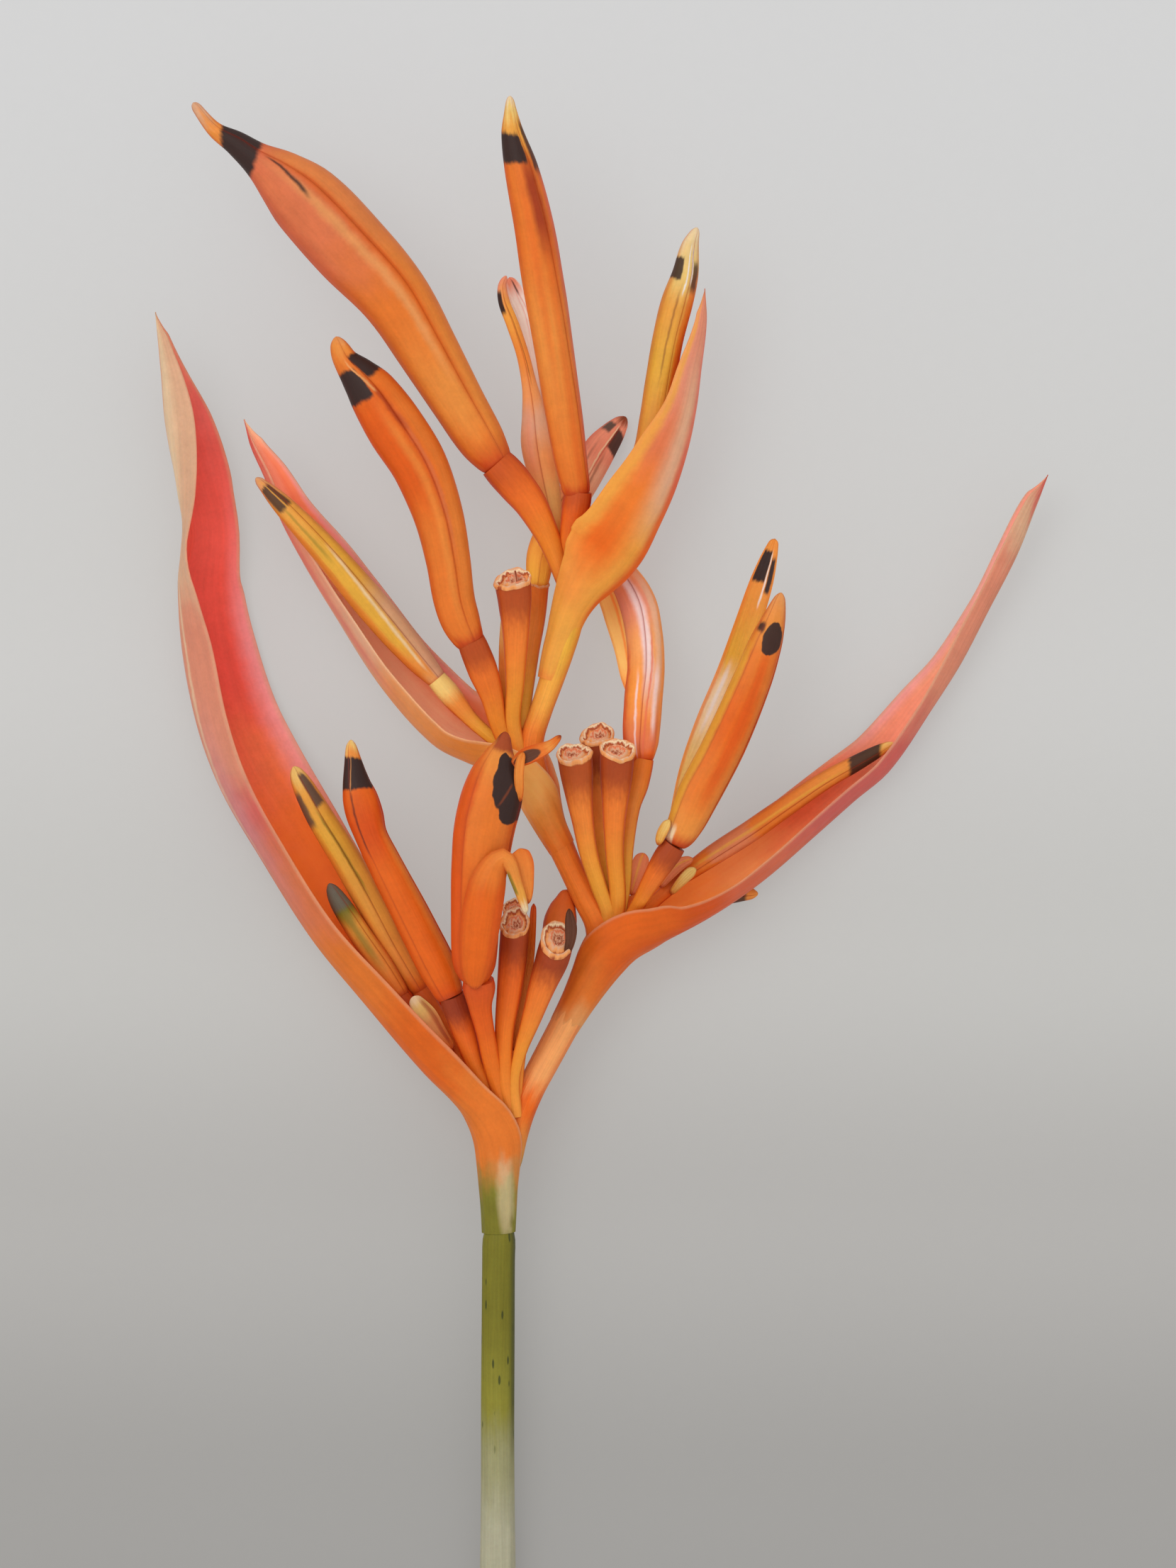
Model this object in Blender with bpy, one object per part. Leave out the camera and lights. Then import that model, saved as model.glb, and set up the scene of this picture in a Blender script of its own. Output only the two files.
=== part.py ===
"""Heliconia flower head lying on a table.

A zigzag stalk carries four boat shaped bracts. Flowers, buds and old flower
stalks rise from the mouth of each bract. Sizes are in millimetres here and
become metres in the mesh. Plus Y points to the tip, plus Z away from the table.
"""
import bpy
import bmesh
import math
from bisect import bisect_right
from mathutils import Vector

MM = 0.001

# Driving sizes, millimetres.
LEAF_WALL = 0.7
ROOT_GAP = 0.32
BLADE_HALF = 0.38
PETAL_FLAT = 0.84
LEAST_BORE = 0.12
LEAST_HALF = 0.3
SCAR_DEPTH = 0.5
SCAR_RIM = 0.72
SCAR_FLOOR = 0.45
SEAM_DEPTH = 0.11
SEAM_COUNT = 3
SMOOTH_ANGLE = math.radians(50)

# Mesh density.
STEM_SIDES, STEM_RINGS = 12, 36
PETAL_SIDES, PETAL_RINGS = 12, 12
BLADE_SIDES, BLADE_RINGS = 8, 10
STALK_SIDES, STALK_RINGS = 8, 8
LEAF_STEPS, LEAF_RINGS = 8, 22

# Colours.
GREEN = (0.30, 0.33, 0.12)
ORANGE = (0.83, 0.33, 0.10)
YELLOW = (0.85, 0.58, 0.16)
SALMON = (0.76, 0.33, 0.22)
PINK = (0.70, 0.24, 0.25)
RUST = (0.55, 0.22, 0.12)
CREAM = (0.86, 0.68, 0.45)

# Round pieces: rows of x, y, z and half width along the centre line.
STEM = [
    (-10.7, -76.4, 1.75, 1.85), (-10.7, -64.9, 2.7, 1.7), (-10.7, -53.9, 3.5, 1.7),
    (-10.6, -41.8, 4.5, 1.8), (-10.5, -36.1, 5.0, 1.8), (-10.4, -33.6, 5.2, 1.65),
    (-10.2, -31.2, 5.4, 1.5), (-9.9, -29.2, 5.5, 1.45), (-9.1, -26.7, 5.6, 1.35),
    (-8.1, -24.2, 5.7, 1.4), (-6.5, -21.7, 5.8, 1.3), (-4.9, -18.8, 5.9, 1.35),
    (-3.2, -15.6, 6.1, 1.5), (-1.6, -12.8, 6.3, 1.55), (-0.3, -10.3, 6.4, 1.5),
    (-0.4, -7.6, 6.5, 1.4), (-1.6, -5.1, 6.8, 1.35), (-3.2, -1.9, 7.0, 1.25),
    (-4.8, 1.7, 7.3, 1.4), (-6.1, 5.0, 7.6, 1.5), (-7.0, 8.2, 7.8, 1.4),
    (-7.2, 11.1, 8.0, 1.25), (-6.3, 14.0, 8.1, 1.15), (-5.2, 17.2, 8.3, 1.25),
    (-4.2, 20.4, 8.5, 1.4), (-3.4, 23.2, 8.7, 1.4), (-3.3, 25.6, 8.8, 1.3),
    (-3.6, 27.8, 9.0, 0.9),
]

STALKS_TOP = [
    [(-3.6, 26.6, 9.2, 0.9), (-4.6, 29.4, 9.6, 1.0), (-5.6, 31.9, 9.9, 1.25),
     (-7.3, 35.1, 10.4, 1.65), (-9.2, 37.5, 10.9, 1.9), (-10.1, 38.5, 11.0, 1.9)],
    [(-3.6, 27.2, 9.1, 0.8), (-3.4, 31.2, 9.6, 1.0), (-2.8, 34.1, 10.2, 1.4),
     (-2.6, 35.4, 10.4, 1.45)],
    [(-3.3, 26.6, 8.9, 0.8), (-1.9, 30.9, 8.9, 0.85), (0.0, 34.1, 9.0, 1.05),
     (1.0, 35.6, 9.0, 1.1)],
    [(-3.7, 26.8, 8.6, 0.7), (-3.9, 29.0, 7.9, 0.6), (-4.2, 30.6, 7.4, 0.6)],
]

STALKS_LEFT = [
    [(-8.4, 8.6, 8.1, 0.8), (-9.8, 10.8, 8.6, 0.8), (-10.6, 12.8, 9.1, 0.9),
     (-11.2, 15.4, 9.9, 1.15), (-12.1, 18.1, 10.9, 1.5), (-13.0, 20.4, 11.6, 1.5)],
    [(-8.2, 9.0, 8.2, 0.8), (-9.1, 12.9, 9.1, 0.8), (-8.9, 16.8, 10.1, 0.95),
     (-8.8, 21.5, 11.2, 1.3), (-8.9, 25.1, 12.0, 1.7), (-9.1, 27.1, 12.4, 1.85)],
    [(-8.1, 9.6, 7.7, 0.75), (-8.2, 14.3, 7.2, 0.7), (-7.8, 19.4, 6.6, 0.8),
     (-7.1, 24.0, 6.2, 0.85), (-6.8, 26.6, 6.0, 1.0)],
    [(-8.6, 9.4, 7.9, 0.75), (-11.5, 11.6, 8.0, 0.7), (-13.4, 13.3, 8.1, 0.8),
     (-15.1, 15.3, 8.2, 1.1), (-16.2, 16.6, 8.3, 1.1)],
]

STALKS_RIGHT = [
    [(0.7, -9.0, 6.9, 0.8), (0.5, -6.2, 7.6, 0.8), (-0.4, -3.7, 8.8, 0.85),
     (-1.4, -0.4, 10.1, 0.95), (-2.1, 3.5, 11.1, 1.15), (-2.6, 7.5, 12.0, 1.65),
     (-2.8, 9.5, 12.4, 1.8)],
    [(0.7, -8.6, 6.5, 0.75), (1.0, -3.7, 7.0, 0.75), (0.5, 1.4, 7.4, 1.0),
     (0.2, 6.4, 7.8, 1.35), (-0.2, 11.4, 8.1, 1.65)],
    [(1.1, -9.0, 7.0, 0.8), (1.5, -6.2, 7.5, 0.8), (1.5, -4.0, 8.7, 0.85),
     (1.2, -0.1, 10.2, 0.95), (1.2, 3.5, 11.2, 1.2), (1.4, 7.7, 12.0, 1.65),
     (1.5, 9.9, 12.4, 1.75)],
    [(1.3, -8.8, 6.8, 0.7), (2.4, -4.2, 7.5, 0.7), (2.9, 0.6, 8.2, 0.75),
     (3.5, 4.4, 8.5, 0.9), (4.1, 8.3, 8.7, 1.05)],
    [(1.5, -9.2, 7.0, 0.75), (3.0, -6.6, 7.3, 0.75), (4.0, -4.6, 8.8, 0.8),
     (5.0, -2.9, 10.4, 0.95), (6.2, -1.1, 11.5, 1.2), (6.7, -0.4, 11.7, 1.2)],
    [(1.5, -9.0, 6.4, 0.65), (4.0, -6.5, 6.4, 0.6), (5.8, -4.8, 6.3, 0.65),
     (7.4, -3.3, 6.2, 0.8)],
]

STALKS_LOWER = [
    [(-9.6, -27.2, 6.2, 0.8), (-11.2, -24.6, 6.8, 0.8), (-12.8, -22.3, 7.6, 0.9),
     (-13.7, -19.6, 8.9, 1.1), (-14.4, -17.4, 9.9, 1.3), (-15.0, -15.6, 10.6, 1.35)],
    [(-10.0, -27.2, 5.8, 0.75), (-13.7, -22.4, 6.2, 0.75), (-16.2, -18.1, 6.5, 0.95),
     (-18.1, -15.0, 6.6, 1.0)],
    [(-9.8, -27.2, 6.0, 0.7), (-14.2, -22.9, 6.9, 0.65), (-17.4, -18.8, 7.4, 0.75),
     (-20.0, -15.4, 7.6, 0.85)],
    [(-9.4, -27.2, 6.4, 0.8), (-10.6, -24.4, 7.3, 0.8), (-11.3, -21.5, 8.8, 0.9),
     (-11.7, -18.2, 11.0, 1.0), (-12.1, -16.0, 12.8, 1.25), (-12.5, -14.5, 13.7, 1.5)],
    [(-9.2, -27.0, 6.5, 0.8), (-9.9, -23.9, 7.5, 0.85), (-10.0, -18.8, 9.3, 0.95),
     (-9.5, -14.5, 10.5, 1.25), (-9.1, -10.9, 11.3, 1.45), (-8.9, -7.6, 11.7, 1.45)],
    [(-9.4, -27.2, 6.0, 0.7), (-9.7, -19.5, 6.9, 0.85), (-9.2, -13.8, 7.6, 1.15),
     (-8.9, -9.4, 8.0, 1.2), (-8.9, -6.1, 8.2, 1.2)],
    [(-8.9, -27.0, 6.6, 0.85), (-8.7, -23.4, 7.8, 0.9), (-7.6, -18.8, 9.5, 1.1),
     (-6.3, -14.5, 10.9, 1.4), (-5.2, -11.0, 11.9, 1.7), (-4.6, -9.3, 12.3, 1.75)],
    [(-8.6, -25.5, 6.8, 0.7), (-7.3, -19.8, 7.9, 0.75), (-5.7, -16.6, 8.3, 0.9),
     (-4.6, -12.3, 8.6, 1.15), (-3.9, -8.7, 8.8, 1.35), (-3.6, -6.8, 8.9, 1.1)],
]

FLOWER_UPPER_LEFT = [
    (-10.6, 39.1, 11.0, 1.7), (-12.2, 41.4, 11.2, 2.35), (-14.6, 45.4, 11.5, 2.65),
    (-17.8, 50.9, 11.8, 3.1), (-21.2, 56.4, 12.0, 3.55), (-25.4, 61.0, 12.2, 3.9),
    (-30.1, 66.0, 12.4, 3.65), (-32.8, 68.4, 12.4, 2.7), (-35.1, 70.1, 12.4, 1.7),
    (-37.1, 71.6, 12.4, 1.25), (-39.3, 73.0, 12.3, 0.8), (-41.5, 75.7, 12.3, 0.45)]
FLOWER_TOP = [
    (-2.6, 36.1, 10.5, 1.4), (-3.3, 40.0, 11.3, 1.7), (-4.0, 44.6, 11.8, 1.9),
    (-4.9, 50.6, 12.1, 2.0), (-5.9, 56.8, 12.3, 2.1), (-6.9, 63.1, 12.4, 2.0),
    (-8.2, 69.0, 12.4, 1.7), (-9.1, 72.6, 12.4, 1.15), (-9.3, 74.6, 12.4, 0.7),
    (-9.4, 76.4, 12.4, 0.3)]
FLOWER_YELLOW = [
    (1.5, 36.3, 9.0, 1.1), (3.1, 40.2, 9.1, 1.4), (4.5, 43.8, 9.2, 1.5),
    (5.6, 47.4, 9.3, 1.5), (6.5, 51.8, 9.4, 1.5), (7.5, 55.6, 9.4, 1.5),
    (8.3, 58.4, 9.4, 1.3), (8.9, 61.3, 9.4, 0.9), (9.6, 63.2, 9.4, 0.3)]
FLOWER_WITHERED = [
    (-6.6, 27.5, 5.9, 1.15), (-6.2, 30.2, 5.0, 1.45), (-4.7, 33.4, 3.7, 1.6),
    (-2.5, 36.8, 2.7, 1.65), (-0.3, 40.7, 1.3, 1.65), (1.2, 42.7, 0.9, 1.2),
    (2.4, 44.2, 0.8, 0.5)]
FLOWER_SLENDER = [
    (-4.5, 31.4, 7.2, 0.6), (-5.1, 34.1, 6.9, 1.0), (-5.9, 37.7, 6.7, 1.5),
    (-6.6, 41.3, 6.6, 1.7), (-7.0, 44.6, 6.6, 1.2), (-7.4, 47.1, 6.6, 0.8),
    (-8.1, 50.3, 6.7, 0.65), (-9.2, 53.6, 6.8, 0.65), (-10.0, 55.7, 6.8, 0.6),
    (-10.2, 57.3, 6.8, 0.45), (-9.8, 58.4, 6.8, 0.25)]
FLOWER_LEFT = [
    (-13.3, 20.9, 11.8, 1.45), (-14.3, 23.0, 12.0, 1.95), (-15.0, 25.3, 12.1, 2.1),
    (-15.6, 29.2, 12.3, 2.25), (-16.6, 33.9, 12.5, 2.5), (-18.4, 38.7, 12.7, 2.8),
    (-21.0, 42.9, 12.8, 2.95), (-23.3, 46.4, 12.9, 2.55), (-24.8, 48.2, 12.9, 1.9),
    (-26.0, 49.6, 12.9, 1.3), (-26.6, 50.8, 12.9, 1.0), (-27.0, 52.0, 12.9, 0.5)]
FLOWER_RIGHT = [
    (7.3, 0.5, 11.9, 1.4), (8.5, 3.0, 12.0, 1.9), (9.7, 5.7, 12.0, 2.15),
    (11.5, 9.1, 12.0, 2.15), (13.3, 12.9, 12.0, 2.1), (15.1, 17.2, 12.0, 1.95),
    (16.5, 21.0, 12.0, 1.65), (17.3, 23.3, 12.0, 1.2), (17.8, 25.0, 12.0, 0.75),
    (18.1, 26.1, 12.0, 0.35)]
FLOWER_ARCHED = [
    (4.3, 9.3, 8.6, 1.2), (4.4, 11.4, 8.2, 1.65), (4.5, 15.0, 7.4, 1.8),
    (4.5, 18.6, 6.4, 1.85), (4.2, 22.2, 5.2, 1.85), (3.6, 25.1, 4.2, 1.85),
    (2.3, 27.6, 3.4, 1.6), (0.8, 29.2, 3.0, 1.2), (-0.6, 30.2, 2.8, 0.6)]
BUD_RIGHT = [
    (8.0, -2.8, 6.1, 0.8), (11.2, -0.6, 5.6, 1.05), (15.1, 1.9, 4.9, 1.1),
    (18.7, 4.4, 4.0, 1.05), (22.6, 7.0, 3.3, 0.95), (26.2, 9.0, 2.9, 0.8),
    (28.4, 10.2, 2.8, 0.6), (29.7, 10.9, 2.9, 0.3)]
BUD_LEFT = [
    (-16.6, 17.1, 8.3, 1.0), (-18.6, 19.3, 8.4, 1.4), (-21.1, 22.2, 8.6, 1.65),
    (-24.0, 25.6, 9.0, 1.7), (-27.3, 29.5, 9.5, 1.5), (-30.5, 33.0, 9.6, 1.25),
    (-33.0, 35.6, 9.5, 0.95), (-34.5, 37.1, 9.2, 0.55), (-35.2, 37.8, 9.0, 0.35)]
BUD_NUB = [
    (8.4, -6.2, 1.0, 0.6), (9.9, -5.4, 1.0, 0.75), (11.9, -4.8, 1.0, 0.95),
    (13.7, -4.5, 1.0, 0.9), (15.0, -4.5, 1.0, 0.65), (15.9, -4.5, 1.0, 0.35)]
FLOWER_LOWER_LEFT = [
    (-15.4, -14.9, 10.9, 1.4), (-16.6, -12.2, 11.1, 1.9), (-18.3, -8.6, 11.3, 1.95),
    (-20.2, -4.5, 11.5, 1.85), (-22.0, -0.8, 11.6, 1.75), (-23.5, 2.4, 11.7, 1.55),
    (-24.6, 5.0, 11.7, 1.6), (-25.0, 7.1, 11.7, 1.3), (-25.3, 9.3, 11.7, 0.8),
    (-25.5, 11.2, 11.7, 0.3)]
BUD_YELLOW = [
    (-18.5, -14.3, 6.7, 1.0), (-20.9, -9.8, 6.9, 1.2), (-23.5, -4.8, 7.1, 1.25),
    (-25.9, -0.4, 7.3, 1.3), (-27.9, 3.0, 7.4, 1.3), (-29.5, 5.5, 7.5, 1.2),
    (-30.5, 7.1, 7.5, 1.0), (-31.2, 8.3, 7.5, 0.45)]
BUD_SMALL = [
    (-20.4, -14.8, 7.7, 0.9), (-22.3, -11.9, 7.8, 1.15), (-24.4, -8.9, 7.8, 1.15),
    (-26.1, -6.3, 7.8, 1.05), (-27.1, -4.7, 7.8, 0.85), (-27.8, -3.4, 7.8, 0.4)]
FLOWER_OPEN = [
    (-12.7, -13.9, 14.1, 1.6), (-13.0, -10.9, 14.7, 2.25), (-12.9, -6.6, 15.2, 2.45),
    (-12.4, -1.5, 15.5, 2.65), (-11.5, 2.8, 15.6, 2.7), (-10.8, 6.4, 15.6, 2.4),
    (-9.9, 8.9, 15.5, 1.7), (-9.4, 10.4, 15.4, 1.1), (-9.0, 11.9, 15.3, 0.5)]

# Flat pieces: rows of x, y, z and half width.
SEPAL_SLENDER = [
    (-5.9, 40.2, 4.0, 0.5), (-6.1, 43.8, 3.9, 0.8), (-6.4, 47.4, 3.9, 0.85),
    (-7.0, 51.0, 4.0, 0.85), (-7.7, 54.6, 4.3, 0.8), (-8.6, 57.0, 4.7, 0.65),
    (-9.3, 58.2, 4.9, 0.4)]
SEPAL_RIGHT = [
    (7.0, 1.6, 9.8, 0.5), (7.8, 4.6, 9.4, 0.8), (9.0, 8.2, 9.1, 1.2), (10.8, 12.7, 9.0, 1.45),
    (13.0, 17.9, 9.0, 1.45), (14.7, 22.8, 9.1, 1.35), (16.1, 27.1, 9.2, 1.2),
    (16.9, 29.7, 9.3, 0.85), (17.5, 31.6, 9.3, 0.4)]
SEPAL_ARCHED = [
    (3.2, 15.4, 5.4, 0.5), (2.5, 17.6, 4.3, 0.65), (2.0, 20.4, 3.1, 0.8), (1.3, 23.3, 2.3, 1.0),
    (0.5, 25.8, 1.6, 1.0), (-0.7, 27.9, 1.2, 0.8), (-1.7, 29.1, 1.1, 0.45)]
SEPAL_CURLED = [
    (-12.0, -11.6, 17.9, 0.6), (-11.9, -8.0, 18.4, 0.8), (-11.9, -5.0, 18.6, 0.85),
    (-11.9, -3.0, 18.7, 0.85), (-11.6, -1.8, 18.7, 0.8), (-11.0, -1.2, 18.7, 0.78),
    (-10.3, -1.5, 18.7, 0.75), (-9.8, -2.4, 18.6, 0.7), (-8.9, -4.2, 18.4, 0.6),
    (-7.8, -6.3, 18.2, 0.4)]
SEPAL_TONGUE = [
    (-8.9, 7.0, 18.1, 0.5), (-7.6, 9.1, 18.3, 0.75), (-5.9, 10.4, 18.3, 0.65),
    (-4.3, 11.5, 18.2, 0.4)]
SCALE_LOWER = [
    (-15.3, -20.3, 8.1, 0.5), (-16.8, -18.4, 8.6, 0.9), (-18.0, -16.7, 8.9, 1.1),
    (-19.3, -14.9, 9.1, 0.6)]
SCALE_THIN = [
    (-7.9, -14.6, 9.0, 0.4), (-7.5, -11.2, 9.6, 0.42), (-7.1, -8.2, 10.0, 0.42),
    (-6.9, -5.4, 10.2, 0.4)]

# Boats: keel x, y, z, depth radius, half width, rim angle and tilt in degrees.
BRACT_LOWER_LEFT = [
    (-13.0, -32.1, 5.3, 2.6, 2.6, 155, 0), (-12.6, -29.8, 5.4, 2.7, 2.7, 150, 0),
    (-13.3, -27.9, 5.3, 3.2, 3.1, 122, 6), (-14.5, -26.0, 5.1, 3.7, 3.5, 108, 14),
    (-18.0, -22.5, 4.5, 4.9, 4.0, 98, 25), (-23.6, -15.8, 3.8, 5.9, 4.3, 90, 30),
    (-29.0, -8.9, 2.9, 6.9, 4.8, 84, 35), (-34.6, 0.0, 2.0, 7.6, 4.9, 82, 37),
    (-38.4, 6.3, 1.5, 8.2, 4.8, 80, 36), (-40.9, 12.5, 1.2, 8.3, 4.5, 78, 33),
    (-42.6, 20.8, 1.4, 7.3, 4.1, 78, 30), (-42.8, 27.1, 1.9, 6.0, 4.0, 76, 34),
    (-41.9, 32.3, 2.6, 4.0, 3.6, 76, 44), (-43.0, 36.8, 3.4, 4.9, 3.4, 78, 33),
    (-44.3, 43.2, 4.6, 4.4, 2.7, 82, 18), (-44.8, 48.2, 5.6, 2.3, 1.5, 90, 8),
    (-45.2, 52.1, 6.2, 1.0, 0.8, 90, 5), (-45.5, 54.7, 6.5, 0.45, 0.45, 90, 5)]
BRACT_RIGHT = [
    (1.4, -13.0, 6.3, 2.75, 2.75, 132, 0), (2.8, -11.4, 6.3, 3.1, 3.2, 104, 0),
    (4.3, -10.2, 5.6, 3.4, 3.3, 96, 12), (7.0, -8.0, 4.0, 4.2, 3.2, 95, 36),
    (12.2, -4.6, 2.5, 4.4, 3.2, 84, 41), (16.4, -1.9, 1.5, 4.5, 3.1, 82, 41),
    (21.3, 1.9, 0.8, 4.5, 2.8, 80, 41), (25.5, 5.3, 0.6, 4.3, 2.6, 80, 40),
    (29.1, 8.3, 0.8, 4.1, 2.6, 80, 36), (33.3, 14.2, 1.4, 4.1, 2.2, 80, 30),
    (36.3, 18.7, 2.0, 2.7, 1.4, 86, 22), (39.4, 24.6, 2.8, 1.6, 1.0, 95, 14),
    (42.2, 30.1, 3.5, 1.7, 1.2, 95, 10), (44.1, 34.9, 4.0, 1.3, 1.1, 92, 10),
    (45.4, 38.2, 4.3, 0.45, 0.45, 90, 10)]
BRACT_LEFT = [
    (-9.0, 5.8, 7.6, 2.6, 2.6, 136, 0), (-9.9, 7.6, 7.4, 3.0, 3.0, 108, 8),
    (-11.2, 8.7, 6.3, 3.9, 3.2, 96, 26), (-13.1, 9.3, 4.9, 5.0, 3.4, 90, 44),
    (-16.9, 11.3, 4.3, 5.6, 3.2, 88, 48), (-22.1, 17.0, 3.8, 5.7, 2.9, 86, 50),
    (-27.2, 24.9, 3.8, 4.7, 2.6, 85, 50), (-29.8, 29.1, 4.0, 4.1, 2.3, 85, 50),
    (-32.4, 33.8, 4.5, 3.0, 1.8, 85, 50), (-34.1, 37.9, 5.0, 2.0, 1.3, 86, 48),
    (-35.6, 41.0, 5.4, 1.1, 0.8, 88, 45), (-36.5, 43.8, 5.8, 0.45, 0.4, 90, 45)]
BRACT_UPPER_RIGHT = [
    (-1.0, 21.9, 8.8, 2.5, 2.5, 150, 0), (-0.6, 23.8, 8.9, 2.7, 2.7, 142, 0),
    (0.0, 25.2, 9.0, 3.8, 3.0, 122, 0), (0.9, 26.3, 9.0, 5.2, 3.2, 108, 0),
    (3.1, 28.7, 9.0, 6.5, 3.4, 96, 0), (5.1, 32.8, 9.1, 6.1, 3.5, 90, 0),
    (7.1, 36.6, 9.1, 5.9, 3.4, 88, 0), (8.5, 40.9, 9.1, 4.6, 3.0, 88, 0),
    (9.4, 45.0, 9.2, 3.2, 2.6, 88, 0), (9.9, 48.7, 9.2, 2.3, 2.0, 88, 0),
    (10.5, 53.5, 9.2, 1.1, 1.2, 88, 0), (10.4, 57.0, 9.2, 0.45, 0.45, 90, 0)]


def blend(rows, count):
    """Evenly spaced rows on a smooth line through the given rows."""
    marks = [0.0]
    for first, second in zip(rows, rows[1:]):
        marks.append(marks[-1] + (Vector(second[:3]) - Vector(first[:3])).length)
    slopes = []
    for i in range(len(rows)):
        low = max(i - 1, 0)
        high = min(i + 1, len(rows) - 1)
        span = marks[high] - marks[low]
        slopes.append([(b - a) / span for a, b in zip(rows[low], rows[high])])
    out = []
    for k in range(count):
        here = marks[-1] * k / (count - 1)
        i = min(max(bisect_right(marks, here) - 1, 0), len(rows) - 2)
        step = marks[i + 1] - marks[i]
        t = (here - marks[i]) / step
        keep_a = 2 * t ** 3 - 3 * t ** 2 + 1
        lean_a = t ** 3 - 2 * t ** 2 + t
        keep_b = 3 * t ** 2 - 2 * t ** 3
        lean_b = t ** 3 - t ** 2
        row = []
        for c in range(len(rows[0])):
            value = keep_a * rows[i][c] + keep_b * rows[i + 1][c]
            value += step * (lean_a * slopes[i][c] + lean_b * slopes[i + 1][c])
            row.append(value)
        out.append(row)
    return out


def directions(points):
    """Unit travel direction at every point of a line."""
    out = []
    for i in range(len(points)):
        before = points[max(i - 1, 0)]
        after = points[min(i + 1, len(points) - 1)]
        out.append((after - before).normalized())
    return out


def solid(name, rings, colour):
    """Close a stack of equal rings into one body resting above the table."""
    work = bmesh.new()
    made = []
    for ring in rings:
        made.append([work.verts.new((p.x * MM, p.y * MM, max(p.z, 0.0) * MM)) for p in ring])
    count = len(made[0])
    for low, high in zip(made, made[1:]):
        for j in range(count):
            k = (j + 1) % count
            work.faces.new((low[j], low[k], high[k], high[j]))
    work.faces.new(list(reversed(made[0])))
    work.faces.new(made[-1])
    bmesh.ops.recalc_face_normals(work, faces=work.faces)
    mesh = bpy.data.meshes.new(name)
    work.to_mesh(mesh)
    work.free()
    piece = bpy.data.objects.new(name, mesh)
    bpy.context.scene.collection.objects.link(piece)
    paint(piece, colour)
    return piece


def paint(piece, colour):
    material = bpy.data.materials.new(piece.name)
    material.use_nodes = True
    shader = material.node_tree.nodes["Principled BSDF"]
    shader.inputs["Base Color"].default_value = (*colour, 1)
    shader.inputs["Roughness"].default_value = 0.45
    shader.inputs["Metallic"].default_value = 0.0
    piece.data.materials.append(material)


def tube_rings(rows, sides, count, thickness, grow=0.0, seam=0.0):
    """Rings across a centre line, thickness(half width) gives the other half.

    Seam is how far, as a share, the joints between sepals are pulled in.
    """
    line = blend(rows, count)
    points = [Vector(row[:3]) for row in line]
    travels = directions(points)
    points[0] -= travels[0] * grow
    points[-1] += travels[-1] * grow
    up = Vector((0, 0, 1))
    rings = []
    for point, travel, row in zip(points, travels, line):
        side = travel.cross(up).normalized()
        over = side.cross(travel).normalized()
        wide = max(row[3], LEAST_HALF) + grow
        tall = thickness(row[3]) + grow
        ring = []
        for j in range(sides):
            turn = 2 * math.pi * j / sides
            pulled = 1 - seam if j % (sides // SEAM_COUNT) == 0 else 1
            reach = side * wide * math.cos(turn) + over * tall * math.sin(turn)
            ring.append(point + reach * pulled)
        rings.append(ring)
    return rings


def stem_half(wide):
    return wide


def round_half(wide):
    return max(wide * PETAL_FLAT, LEAST_HALF)


def blade_half(wide):
    return BLADE_HALF


def flower(name, rows, colour):
    """Closed flower or bud, with the seams between its sepals."""
    rings = tube_rings(rows, PETAL_SIDES, PETAL_RINGS, round_half, seam=SEAM_DEPTH)
    return solid(name, rings, colour)


def blade(name, rows, colour):
    """Single free sepal or dry scale."""
    return solid(name, tube_rings(rows, BLADE_SIDES, BLADE_RINGS, blade_half), colour)


def stalk(name, rows, colour):
    """Round stalk whose cut top is a shallow dish."""
    rings = tube_rings(rows, STALK_SIDES, STALK_RINGS, round_half)
    top = rings[-1]
    middle = sum(top, Vector()) / len(top)
    below = sum(rings[-2], Vector()) / len(top)
    down = (below - middle).normalized() * SCAR_DEPTH
    rings.append([middle + (p - middle) * SCAR_RIM for p in top])
    rings.append([middle + (p - middle) * SCAR_FLOOR + down for p in top])
    return solid(name, rings, colour)


def boat(name, rows, opening, colour):
    """Folded leaf. Opening is plus one when the mouth is right of travel."""
    line = blend(rows, LEAF_RINGS)
    points = [Vector(row[:3]) for row in line]
    rings = []
    for point, travel, row in zip(points, directions(points), line):
        deep, wide, rim, tilt = row[3], row[4], math.radians(row[5]), math.radians(row[6])
        flat = Vector((travel.y, -travel.x, 0)).normalized() * opening
        mouth = flat * math.cos(tilt) + Vector((0, 0, 1)) * math.sin(tilt)
        mouth = (mouth - travel * mouth.dot(travel)).normalized()
        across = travel.cross(mouth)
        centre = point + mouth * deep
        inner_deep = max(deep - LEAF_WALL, LEAST_BORE)
        inner_wide = max(wide - LEAF_WALL, LEAST_BORE)
        outside = []
        inside = []
        for j in range(LEAF_STEPS + 1):
            turn = rim * (2 * j / LEAF_STEPS - 1)
            reach = -mouth * math.cos(turn)
            spread = across * math.sin(turn)
            outside.append(centre + reach * deep + spread * wide)
            inside.append(centre + reach * inner_deep + spread * inner_wide)
        rings.append(outside + list(reversed(inside)))
    return solid(name, rings, colour)


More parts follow.
